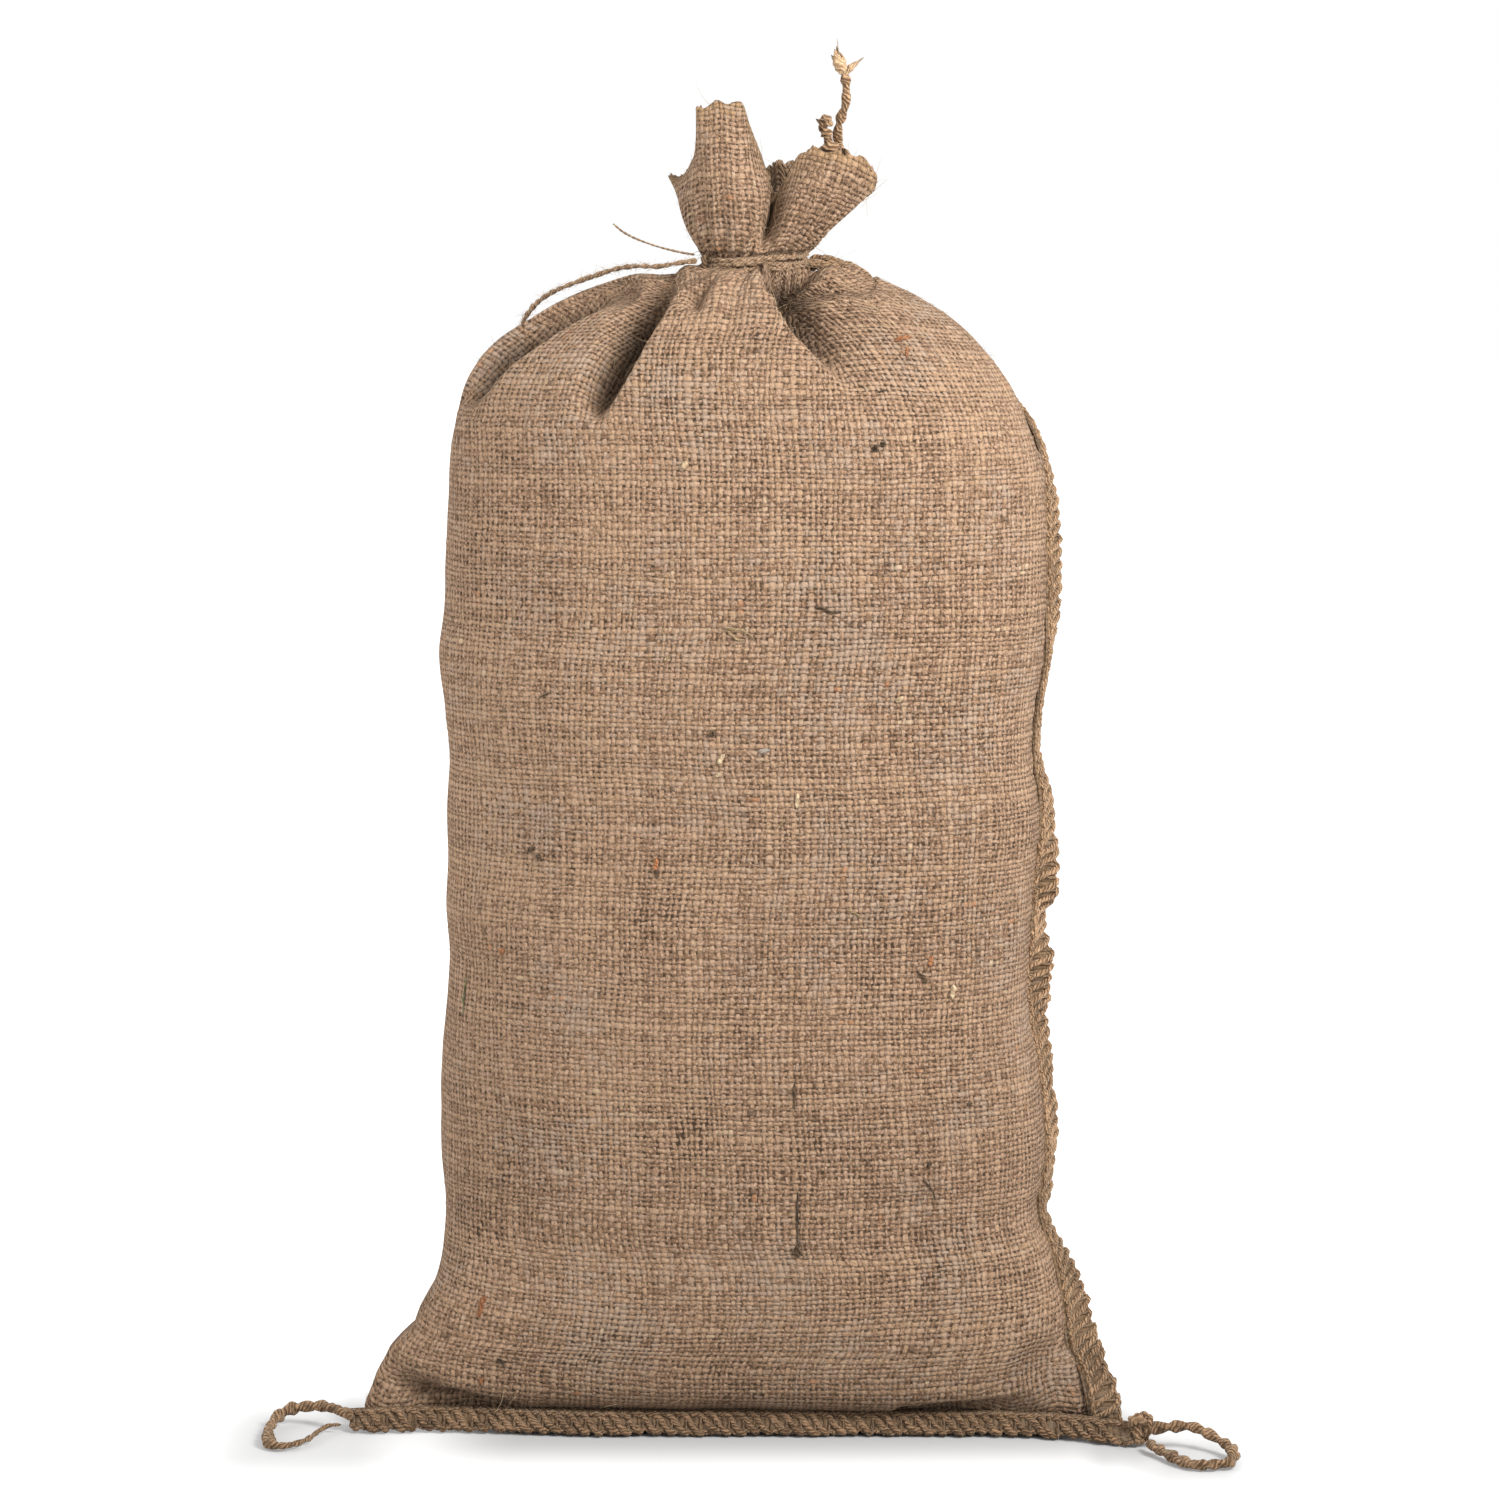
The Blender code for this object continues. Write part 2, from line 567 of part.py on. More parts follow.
clear_scene()
make_sack()
make_side_seam()
make_bottom_seam()
make_neck_tie()
make_cord("tie_end_long", TIE_END_LONG, TWINE, JUTE_TWINE)
make_cord("tie_end_thin", TIE_END_THIN, THIN_STRAND, JUTE_TWINE)
make_cord("corner_loop_left", CORNER_LOOP_LEFT, LEFT_TAIL, JUTE_THREAD)
make_cord("corner_loop_right", CORNER_LOOP_RIGHT, RIGHT_TAIL, JUTE_THREAD)
make_cord("seam_tail", SEAM_TAIL, MOUTH_TAIL, JUTE_THREAD)
make_lump("corner_knot_right", KNOT_CENTRE, KNOT_RADII, JUTE_THREAD)
make_lump("seam_tail_stub", STUB_CENTRE, STUB_RADII, JUTE_THREAD)
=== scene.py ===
"""The looks of a small burlap sack, filled, standing upright and tied at the neck with jute twine.

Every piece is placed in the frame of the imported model: +X is right, -Y is the front, +Z is up. The tables
and sizes are millimetres and degrees unless a name says otherwise, and meshes are written in metres.
"""

import math

import bmesh
import bpy
import numpy as np
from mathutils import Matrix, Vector, noise


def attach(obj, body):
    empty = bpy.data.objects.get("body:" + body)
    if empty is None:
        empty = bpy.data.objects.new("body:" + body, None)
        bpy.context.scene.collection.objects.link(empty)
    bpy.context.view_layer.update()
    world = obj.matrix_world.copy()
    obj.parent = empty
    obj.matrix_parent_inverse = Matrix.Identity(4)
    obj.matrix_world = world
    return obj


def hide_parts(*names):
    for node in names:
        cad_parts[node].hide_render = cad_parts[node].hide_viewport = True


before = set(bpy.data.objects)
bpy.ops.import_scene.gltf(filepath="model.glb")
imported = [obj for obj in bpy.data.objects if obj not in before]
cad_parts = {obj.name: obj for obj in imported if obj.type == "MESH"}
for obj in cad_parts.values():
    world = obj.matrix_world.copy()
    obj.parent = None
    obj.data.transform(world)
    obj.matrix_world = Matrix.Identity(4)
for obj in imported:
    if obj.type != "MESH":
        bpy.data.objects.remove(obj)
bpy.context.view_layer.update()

MM = 0.001
TURN = 2.0 * math.pi


# --------------------------------------------------------------------------------------------------
# Camera. It stands straight in front of the sack, a little above its middle, and looks slightly down.

CAMERA_BACK, CAMERA_HEIGHT, CAMERA_DOWN = 1639.7, 500.0, 8.289
LENS, FILM_WIDTH = 100.0, 36.0

camera_data = bpy.data.cameras.new("camera")
camera_data.lens = LENS
camera_data.sensor_width = FILM_WIDTH
camera = bpy.data.objects.new("camera", camera_data)
camera.location = Vector((0.0, -CAMERA_BACK, CAMERA_HEIGHT)) * MM
camera.rotation_euler = (math.radians(90.0 - CAMERA_DOWN), 0.0, 0.0)
bpy.context.scene.collection.objects.link(camera)
bpy.context.scene.camera = camera


# --------------------------------------------------------------------------------------------------
# Studio. A white table in even white light, with one large soft lamp high at the right that models the
# belly, and two weak ones above and at the left. The table's surface also glows, painted light that keeps it
# past white, and the contact shadows under the sack and its loops are painted into that glow.

def named(columns, rows):
    return [dict(zip(columns, row)) for row in rows]


FLOOR_WIDTH, FLOOR_UNDER = 16000.0, 0.5
FLOOR_COLOUR = (0.36, 0.36, 0.36, 1.0)
FLOOR_GLOW = (0.50, 0.95)  # painted light: the table glows, a little in front, and more behind the sack, over its shadow
GLOW_BEHIND, GLOW_AWAY = (-60.0, 40.0), (350.0, 900.0)
# Painted contact shadows: the glow is dimmed where the sack and its loops rest. Each place has its middle,
# its half size, how far the shade reaches past it to the sides and to the front, and the share of the glow
# that is left.
SHADED = ("centre", "half", "reach", "least")
SHADED_PLACES = (
    ((14.0, -35.5), (102.0, 34.0), (58.0, 46.0), 0.0),
    ((142.0, -72.0), (5.0, 7.0), (14.0, 44.0), 0.0),
    ((-172.0, -66.0), (16.0, 19.0), (34.0, 46.0), 0.38),
    ((169.0, -96.0), (9.0, 9.0), (22.0, 40.0), 0.30),
)
SKY_STRENGTH = 1.0
TABLE_FINISH = {"Roughness": 0.9, "Base Color": FLOOR_COLOUR, "Emission Strength": 1.0}
DRY_GLOSS = 0.1  # the specular level of the table and of dry jute
WHITE = (1.0, 1.0, 1.0, 1.0)
LAMP = ("name", "place", "width", "watts")
LAMPS = (
    ("key_lamp", (900.0, -800.0, 1150.0), 600.0, 33.5),
    ("top_lamp", (-100.0, -500.0, 1500.0), 900.0, 1.0),
    ("side_lamp", (-1100.0, -350.0, 420.0), 600.0, 5.6),
)
LAMP_AIM = Vector((0.0, 0.0, 240.0))


class Wire:
    """A value that runs through a material's nodes. Sums written with it become Math nodes."""

    def __init__(self, tree, socket=None):
        self.tree = tree
        self.socket = socket

    def node(self, kind, inputs, output=0, **settings):
        """A node of any other kind: its settings first, then its inputs, by name or place."""
        made = self.tree.nodes.new(kind)
        for name, value in settings.items():
            setattr(made, name, value)
        for key, value in inputs.items():
            if isinstance(value, Wire):
                self.tree.links.new(value.socket, made.inputs[key])
            else:
                made.inputs[key].default_value = value
        return Wire(self.tree, made.outputs[output])

    def part(self, axis):
        return self.node("ShaderNodeSeparateXYZ", {0: self}, output=axis)

    def maths(self, operation, *values, clamp=False):
        return self.node("ShaderNodeMath", dict(enumerate(values)), operation=operation, use_clamp=clamp)

    def __add__(self, other):
        return self.maths("ADD", self, other)

    def __sub__(self, other):
        return self.maths("SUBTRACT", self, other)

    def __rsub__(self, other):
        return self.maths("SUBTRACT", other, self)

    def __mul__(self, other):
        return self.maths("MULTIPLY", self, other)

    def __truediv__(self, other):
        return self.maths("DIVIDE", self, other)

    def __gt__(self, other):
        return self.maths("GREATER_THAN", self, other)

    def __lt__(self, other):
        return self.maths("LESS_THAN", self, other)

    __radd__ = __add__
    __rmul__ = __mul__


def finish_of(name, settings):
    """A new material, its shader node, and a wire to start its sums from."""
    made = bpy.data.materials.new(name)
    made.use_nodes = True
    shader = made.node_tree.nodes["Principled BSDF"]
    for socket, value in {"Specular IOR Level": DRY_GLOSS, **settings}.items():
        shader.inputs[socket].default_value = value
    return made, shader, Wire(made.node_tree)


def connect(wire, shader, name):
    wire.tree.links.new(wire.socket, shader.inputs[name])


def place_of(start):
    """The place on the piece, in metres."""
    return start.node("ShaderNodeTexCoord", {}, output=3)


def link_to_scene(made):
    bpy.context.scene.collection.objects.link(made)
    return made


def make_floor():
    bm = bmesh.new()
    bmesh.ops.create_grid(bm, x_segments=1, y_segments=1, size=FLOOR_WIDTH / 2.0 * MM)
    bmesh.ops.translate(bm, vec=Vector((0.0, 0.0, -FLOOR_UNDER * MM)), verts=bm.verts)
    mesh = bpy.data.meshes.new("floor")
    bm.to_mesh(mesh)
    bm.free()
    floor = link_to_scene(bpy.data.objects.new("floor", mesh))
    paper, shader, start = finish_of("studio_table", TABLE_FINISH)
    place = place_of(start)
    x, back = place.part(0), place.part(1)
    away = start.node("ShaderNodeVectorMath", {0: place}, output=1, operation="LENGTH")
    # Painted light: the table glows more behind the sack and far from it, where it would otherwise grey.
    glows = []
    for distance, (near, far) in ((back, GLOW_BEHIND), (away, GLOW_AWAY)):
        values = {0: distance, 1: near * MM, 2: far * MM, 3: FLOOR_GLOW[0], 4: FLOOR_GLOW[1]}
        glows.append(start.node("ShaderNodeMapRange", values))
    glow = start.maths("MAXIMUM", *glows)
    # Painted contact shadows: the glow dims near where the sack and its loops rest.
    for spot in named(SHADED, SHADED_PLACES):
        beside = []
        for wire, middle, half, reach in zip((x, back), spot["centre"], spot["half"], spot["reach"]):
            off = wire - middle * MM
            beside.append(start.maths("MAXIMUM", off.maths("ABSOLUTE", off) - half * MM, 0.0) / (reach * MM))
        apart = start.maths("SQRT", beside[0] * beside[0] + beside[1] * beside[1])
        values = {0: apart, 3: spot["least"]}
        glow = glow * start.node("ShaderNodeMapRange", values, interpolation_type="SMOOTHSTEP")
    connect(glow, shader, "Emission Color")
    mesh.materials.append(paper)


def make_lamps():
    for lamp in named(LAMP, LAMPS):
        data = bpy.data.lights.new(lamp["name"], "AREA")
        data.shape = "DISK"
        data.size = lamp["width"] * MM
        data.energy = lamp["watts"]
        made = link_to_scene(bpy.data.objects.new(lamp["name"], data))
        made.location = Vector(lamp["place"]) * MM
        made.rotation_euler = (LAMP_AIM - Vector(lamp["place"])).to_track_quat("-Z", "Y").to_euler()


def make_sky():
    world = bpy.data.worlds.new("studio_air")
    world.use_nodes = True
    background = world.node_tree.nodes["Background"]
    background.inputs["Color"].default_value = WHITE
    background.inputs["Strength"].default_value = SKY_STRENGTH
    bpy.context.scene.world = world
    bpy.context.scene.view_settings.view_transform = "Standard"


make_floor()
make_lamps()
make_sky()


# --------------------------------------------------------------------------------------------------
# Sack cloth. One length of open, plain-woven hessian, folded at the left side and filled until the belly is
# round. It is gathered under the tie into a few deep folds, and open above it as a mouth with two ears. The
# other pieces are sewn or tied to it.

# Sections of the filled sack, each with its height, its ends at the left and right, its front and back, how
# far back each end lies, and how round the section is.
SECTIONS = (
    (0, -118, 112, -50, 46, -26, -28, 1),
    (2.5, -150, 134, -55, 53, -52, -60, 1.5),
    (8, -151.5, 134.6, -59, 58, -55, -63, 1.5),
    (12, -150.5, 134.4, -66, 61, -54, -62, 1.45),
    (16, -149, 133.6, -69, 63, -52, -60, 1.4),
    (22, -147.2, 131.5, -70.5, 65, -49, -57, 1.3),
    (26, -144.4, 129.4, -71, 65.5, -46, -55, 1.22),
    (31.5, -138.8, 127, -71.5, 66, -43, -51, 1.12),
    (36, -132.8, 126, -71.8, 66.5, -40, -48.5, 1.05),
    (41, -131, 125, -72, 67, -36, -45, 1),
    (47, -127.5, 124, -72, 67, -32, -41, 0.94),
    (52, -124.8, 122.5, -72, 67, -28, -38, 0.9),
    (66, -122, 119, -71.5, 67, -18, -30, 0.86),
    (80, -121.5, 113.8, -71, 66.5, -10, -24, 0.85),
    (100, -124, 116.7, -70, 66, -4, -19, 0.85),
    (120, -124.3, 115.7, -69, 65.5, 0, -16, 0.85),
    (140, -123.3, 112.7, -68, 65, 0, -15, 0.85),
    (160, -121, 109.4, -67, 65, 0, -15, 0.85),
    (180, -120, 109.8, -66.5, 64.5, 0, -15, 0.85),
    (200, -121.5, 111.2, -66, 64.5, 0, -15, 0.85),
    (220, -120.5, 112.7, -66, 64.5, 0, -15, 0.85),
    (240, -120.5, 114.2, -66, 64.5, 0, -15, 0.85),
    (260, -119.5, 111, -66, 65, 0, -15, 0.85),
    (280, -121.5, 111.6, -65.5, 64.5, 0, -15, 0.85),
    (300, -123, 114.8, -64.5, 64, 0, -15, 0.85),
    (320, -120.5, 115.5, -63.5, 63, 0, -15, 0.86),
    (340, -119.5, 115.1, -62, 62, 0, -14, 0.87),
    (360, -118.5, 114.4, -60, 60.5, 0, -13, 0.88),
    (378, -118, 113.2, -57.5, 58.5, 1, -10, 0.9),
    (392, -116, 109, -54.5, 56, 2, -5, 0.92),
    (404, -113, 104, -51, 53, 2, 0, 0.95),
    (414, -107.5, 98, -47.5, 50, 2, 2, 0.98),
    (423, -99.5, 90.5, -43.5, 46.5, 2, 3, 1),
    (431, -87, 81, -39.5, 42.5, 2, 3, 1),
    (437, -77, 72, -36, 39, 2, 3, 1),
    (442, -67, 62, -32.5, 35.5, 1, 2, 1),
    (446, -56, 51, -29.5, 32, 1, 1, 1),
    (449.3, -44, 41.5, -26.5, 27.5, 0, 0, 1),
    (451, -32.5, 32.5, -22.4, 22.5, 0, 0, 1),
    (451.4, -24.5, 27.5, -19.2, 19.4, 0, 0, 1),
    (451.9, -19.8, 23.6, -17.2, 17.4, 0, 0, 1),
    (454.5, -17.8, 20, -16.4, 16.4, 0, 0, 1),
    (458, -19.8, 22, -18.2, 18.2, 0, 0, 1),
)

# Two levels of the mouth above the tie, its middle and its edge, as rows of an angle and a point. Each has
# the left ear, the valley where it looks into the mouth, the right ear, and the ruffles of the back.
MOUTH_MIDDLE = (
    (4, -22, 17, 474), (16, -27.5, 8, 474.5), (28, -25, -2, 476), (40, -20.5, -10, 478),
    (56, -11, -16.5, 479), (70, -1.5, -17.5, 478), (82, 4.8, -15.5, 477), (90, 7.4, -11, 475),
    (96, 6.8, -1, 469.5), (102, 9.4, -9.5, 473), (112, 15, -15.5, 476), (126, 24, -18, 478),
    (140, 31.5, -16.5, 478), (154, 38.5, -11, 477), (166, 41, -5, 475.5), (178, 40, 3, 474),
    (190, 37.5, 9, 475), (205, 33.5, 14, 477), (226, 27, 19, 476), (256, 16, 21, 475),
    (284, 5, 22.5, 475), (312, -6, 24, 475), (340, -15.5, 21.5, 474),
)
MOUTH_EDGE = (
    (4, -27.5, 20, 487), (12, -32, 13, 487), (20, -26, 7, 489), (28, -20.8, 1, 497),
    (36, -19.6, -5, 505.5), (44, -20.6, -10.5, 513.5), (49, -17.5, -12.5, 513.8), (56, -12, -13, 516),
    (62, -8, -12.5, 515), (68, -3.4, -11, 516), (75, -0.2, -10.5, 506.5), (82, 3.2, -10.5, 498.5),
    (88, 6.3, -10.5, 491), (92.5, 7.9, -8.5, 482), (96, 8.2, -2, 476), (100, 9.8, -7, 479.5),
    (105, 13.5, -10, 487), (111, 18.8, -11.5, 494.5), (118, 23.5, -13.5, 497.8), (128, 31.6, -16, 497.4),
    (138, 37, -16.5, 495.6), (148, 42.5, -14, 494.6), (158, 48.8, -9, 489), (168, 49, -3, 482.5),
    (178, 46, 3, 481), (190, 43, 8, 486), (200, 39, 11, 494), (210, 35, 15, 498), (226, 31, 20.5, 493.5),
    (242, 24, 20, 492.5), (256, 18, 23, 492), (270, 12.5, 21, 493), (284, 7.5, 24.5, 491),
    (298, 2, 23.5, 490), (312, -3.5, 27.5, 490), (326, -10, 25, 490.5), (340, -16, 27, 490),
    (352, -21, 25, 489),
)
MOUTH_RUN = 60.0
MOUTH_WALL = 1.5
RAGGED = 2.2  # how uneven the cut edge is
NECK_MIDDLE = (1.1, 0.0)

# Folds that the gathers make. Each runs down a line of (x, height) on the front or the back, and its trough
# has a width of its own on each side: a narrow side is the crisp edge of a pleat. inset is how far it stays
# clear of the sack's sides, start is its strength at its first point, and a small fade ends it early.
FOLD = ("side", "parts_lobes", "depth", "left", "right", "inset", "start", "fade", "line")
FRONT, BACK = -1.0, 1.0
FOLDS = (
    (FRONT, True, 20.0, 2.2, 9.0, -4.0, 0.40, 6.0,
     ((-51, 447.5), (-62, 444.5), (-71, 441.5), (-81, 437.5), (-91, 431.5), (-100, 425.5), (-108, 417),
      (-114, 407.5), (-118, 397))),
    (FRONT, True, 20.0, 8.5, 3.4, -8.0, 0.22, 5.0,
     ((-30, 449), (-36.5, 438), (-42.5, 429), (-48, 419), (-53, 410), (-58, 401), (-61, 394))),
    (FRONT, True, 17.0, 2.2, 14.5, -8.0, 1.0, 1.2,
     ((9.5, 449), (13, 440), (18.5, 431), (25.5, 423), (32, 416), (42, 404))),
    (FRONT, False, 8.0, 2.2, 3.2, -8.0, 0.9, 3.0, ((8, 446), (20, 446.5), (34, 446), (48, 443))),
    (FRONT, False, -2.4, 5.0, 6.0, -8.0, 0.2, 2.0, ((14, 450), (26, 451), (38, 450), (52, 446))),
    (FRONT, False, 8.0, 9.0, 2.6, -8.0, 0.08, 5.0,
     ((-147, 25), (-138, 21), (-121, 14.5), (-104, 10.5), (-88, 8))),
    (FRONT, False, 5.0, 8.0, 2.6, -8.0, 0.55, 5.0, ((60, 8.5), (90, 11), (112, 15))),
    (FRONT, False, 5.0, 6.0, 3.5, -8.0, 0.20, 5.0, ((127, 36), (112, 30), (103, 22), (96, 13))),
    (FRONT, False, -1.6, 4.0, 4.0, -8.0, 0.55, 5.0, ((126, 24), (116, 21), (108, 15))),
    (FRONT, False, 5.0, 3.2, 3.0, -8.0, 0.55, 5.0, ((-17, 448), (-20, 443), (-22, 436))),
    (BACK, True, 11.0, 8.0, 4.0, 3.0, 0.55, 5.0,
     ((-22, 449), (-40, 440), (-62, 428), (-80, 412), (-90, 398))),
    (BACK, True, 8.0, 4.0, 7.0, 3.0, 0.55, 5.0, ((-8, 449), (-14, 436), (-24, 420), (-31, 405))),
    (BACK, True, 12.0, 6.0, 10.0, 3.0, 0.55, 5.0, ((3, 449), (6, 434), (4, 416), (9, 396))),
    (BACK, False, 7.0, 7.0, 3.5, 3.0, 0.55, 5.0, ((14, 449), (24, 437), (33, 424))),
    (BACK, True, 10.0, 4.0, 8.0, 3.0, 0.55, 5.0, ((24, 449), (44, 440), (62, 427), (74, 408))),
)
FOLD_ROLL = 0.16  # how far the cloth stands up beside a fold, as a share of the fold's depth
ROLL_PLACE, ROLL_WIDTH = 2.2, 1.2  # where that roll lies and how wide it is, in widths of the fold
FOLD_GROWS = 0.35  # the share of its length over which a fold grows to its full depth
FOLD_EDGE = 8.0  # how far from its inset a fold is whole
# The lobes that those folds part, from left to right, each by an angle at which its yarns run straight.
FRONT_LOBES = (0.0, 42.0, 86.0, 140.0)
BACK_LOBES = (356.0, 316.0, 288.0, 250.0, 215.0)
LOBES_START = 394.0  # the height at which they begin
LEVEL_YARN = 190.0  # the height at which one yarn runs level all round the belly
# Where each part of the mouth starts, and its straight yarn, as angles.
EARS = ((0.0, 52.0), (96.0, 130.0), (205.0, 280.0))
# Small gathers: their number round the neck, where they start and over what width they grow, as distances
# from the neck, the height above which they lie, and their depth on the shoulders and in the mouth.
GATHER_COUNT, GATHER_REACH, GATHER_GROWS, GATHER_ABOVE = 26, 76.0, 50.0, 425.0
SHOULDER_GATHER, MOUTH_GATHER, GATHER_MEAN = 1.2, 1.5, 0.45
FOLDS_STOP = 8.0  # how far below the tie the big folds stop
TIE_BITE, TIE_BITE_WIDTH = 0.8, 4.0  # the groove under the tie
BELLY_TOP, BELLY_FADE = 445.0, 12.0
DENT = ("wave", "height", "seed")
DENTS = ((62.0, 1.3, 1.0), (24.0, 0.45, 9.0), (9.0, 0.16, 17.0))
# The cloth puckers beside the side seam: over how many degrees, below what height, how high and how unevenly.
PUCKER_WIDTH, PUCKER_BELOW, PUCKER_HEIGHT, PUCKER_PULL = 4.0, 380.0, 1.1, 0.4

COLUMNS = 360
BODY_STEP, SHOULDER_STEP, MOUTH_STEP = 3.2, 1.3, 1.6
SHOULDER_HEIGHT = 385.0
CUP_DEPTH, CUP_STEPS = 24.0, 14  # the open mouth inside, down to where the neck is shut
CUP_SAG, CUP_RINGS = 3.0, (0.7, 0.35, 0.02)
BASE_RINGS = (0.02, 0.4, 0.75)
CUP_SHADE = (0.55, 1.3)  # how dark the painted shade inside the mouth is at its rim and at its bottom
SELVEDGE = 9.0  # the width of the golden selvedge at the rim
DARKEST_FOLD = 11.0  # the depth of fold at which the painted shade in the folds is darkest
BELLY_PLACE = 0.4  # the share of the way up at which the columns are evenly spaced
SHOULDER_SECTIONS = 33  # the sections below the narrow part of the neck

STITCH = {"pitch": 5.0, "slant": 9.0, "thread": 1.4, "binder": 0.5, "chain": 1.0}  # of the side seam
YARN_ACROSS, YARN_UP = 2.44, 2.2  # from yarn to yarn: the upright yarns, and the level ones
JUTE_LIGHT = (0.336, 0.224, 0.152, 1.0)
JUTE_MIDDLE = (0.253, 0.158, 0.101, 1.0)
JUTE_DARK = (0.150, 0.088, 0.052, 1.0)
JUTE_GOLD = (0.275, 0.172, 0.082, 1.0)
JUTE_GREY = (0.266, 0.203, 0.156, 1.0)
JUTE_PALE = (0.480, 0.370, 0.240, 1.0)
JUTE_RUST = (0.330, 0.130, 0.050, 1.0)
GAP_COLOUR = (0.048, 0.029, 0.017, 1.0)
CLOTH_SHEEN = {"Sheen Weight": 0.07, "Sheen Roughness": 0.45, "Sheen Tint": (0.95, 0.76, 0.56, 1.0)}
# How far yarns stray from even places over long and short lengths, and each by itself, in yarns.
WANDER, SHORT_WANDER, SWAY = 2.2, 0.6, 0.46
UPRIGHT_HALF, LEVEL_HALF, SLUBS = 0.325, 0.350, 0.36  # half a yarn's thickness, and how its slubs swell it
YARN_ROUND, YARN_RISE, NO_YARN = 0.9, 0.55, 3.0
CROWN_LIGHT, CROWN_RANGE = (0.78, 1.11), (0.10, 1.40)
GAP_RANGE, GAP_FILLED = (0.62, -0.30), 0.65
BLEACHED, RUSTY, DARK = 0.35, 0.38, 0.60  # how strong the stray colours are
STRAY_LENGTH = 0.45  # one over the length of such a piece of yarn, in yarns
WEATHERED = 0.48
# Painted shade: the share of its colour that the cloth keeps near the floor and nearest it, and in its
# deepest folds.
LOW_SHADE, LOWEST_SHADE, FOLD_SHADE = 0.88, 0.80, 0.38
CLOTH_RELIEF, THREAD_RELIEF = 0.0008, 0.0004


def unit(vectors):
    return vectors / np.maximum(np.linalg.norm(vectors, axis=-1, keepdims=True), 1e-12)


def smooth(at, values, places, period=None):
    """Values at the given places on a smooth curve through a table's rows."""
    at = np.asarray(at, float)
    values = np.asarray(values, float)
    if period:
        at = np.concatenate([at[-3:] - period, at, at[:3] + period])
        values = np.concatenate([values[-3:], values, values[:3]])
    slopes = np.empty_like(values)
    slopes[1:-1] = (values[2:] - values[:-2]) / (at[2:] - at[:-2])[:, None]
    slopes[0] = (values[1] - values[0]) / (at[1] - at[0])
    slopes[-1] = (values[-1] - values[-2]) / (at[-1] - at[-2])
    i = np.clip(np.searchsorted(at, places, side="right") - 1, 0, len(at) - 2)
    span = at[i + 1] - at[i]
    t = ((places - at[i]) / span)[:, None]
    span = span[:, None]
    return (
        (2 * t**3 - 3 * t**2 + 1) * values[i]
        + (t**3 - 2 * t**2 + t) * span * slopes[i]
        + (3 * t**2 - 2 * t**3) * values[i + 1]
        + (t**3 - t**2) * span * slopes[i + 1]
    )


def run_along(points):
    """The distance along a line of points, from its start to each of them."""
    steps = np.linalg.norm(np.diff(points, axis=0), axis=-1)
    return np.concatenate([[0.0], np.cumsum(steps)])


def read_along(places, run, values):
    """Points or directions at places along a line, given at the distances in run."""
    return np.stack([np.interp(places, run, values[:, k]) for k in range(3)], axis=-1)


def rough_along(places, wave, seed, layer):
    """An uneven value at each place along a line."""
    return np.array([noise.noise((place / wave, seed, layer)) for place in places])


def rough_round(angles, size, seed):
    """The same round a ring."""
    return np.array([noise.noise((math.cos(a) * size, math.sin(a) * size, seed)) for a in angles])


section_values = np.array(SECTIONS)
section_runs = run_along(section_values[:, [0, 1, 3]])
BODY_RUN = section_runs[-1]
mouth_middle, mouth_edge = np.array(MOUTH_MIDDLE), np.array(MOUTH_EDGE)


def bare_cloth(places, angles):
    """The cloth before its folds, as rows of points at places along it, from the floor up to the rim."""
    rows = smooth(section_runs, section_values, np.clip(places, 0.0, BODY_RUN))
    height, left, right, front, back, left_y, right_y, point = rows.T[:, :, None]
    along = (1.0 - np.cos(angles)) / 2.0
    chord = left_y + (right_y - left_y) * along
    middle = (left_y + right_y) / 2.0
    bulge = np.abs(np.sin(angles)) ** point
    out = np.where(np.sin(angles) > 0.0, front - middle, back - middle)
    x = left + (right - left) * along
    body = np.stack([x, chord + out * bulge, np.broadcast_to(height, x.shape)], axis=-1)
    middle, edge = (
        smooth(table[:, 0], table[:, 1:], np.degrees(angles), period=360.0)
        for table in (mouth_middle, mouth_edge)
    )
    t = np.clip((places - BODY_RUN) / MOUTH_RUN, 0.0, 1.0)[:, None, None]
    return body * (1 - t) * (1 - 2 * t) + middle * 4 * t * (1 - t) + edge * t * (2 * t - 1)


def outward(grid):
    """Unit normals of a grid whose rows go round anticlockwise, seen from above, and upwards."""
    around = np.roll(grid, -1, axis=1) - np.roll(grid, 1, axis=1)
    return unit(np.cross(around, np.gradient(grid, axis=0)))


def even_angles(count):
    """Angles that part the belly's section into equal lengths, from the left side by the front."""
    fine = np.linspace(0.0, TURN, 2881)
    belly = bare_cloth(np.array([BODY_RUN * BELLY_PLACE]), fine)[0]
    along = run_along(belly)
    return np.interp(np.arange(count) / count * along[-1], along, fine)


def cloth_places():
    """Places of the rows: wide apart on the belly, close on the shoulders and in the mouth."""
    heights, runs = section_values[:SHOULDER_SECTIONS, 0], section_runs[:SHOULDER_SECTIONS]
    start = np.interp(SHOULDER_HEIGHT, heights, runs)
    return np.concatenate(
        [
            np.arange(0.0, start, BODY_STEP),
            np.arange(start, BODY_RUN, SHOULDER_STEP),
            BODY_RUN + np.arange(0.0, MOUTH_RUN, MOUTH_STEP),
            [BODY_RUN + MOUTH_RUN],
        ]
    )


cloth_angles = even_angles(COLUMNS)


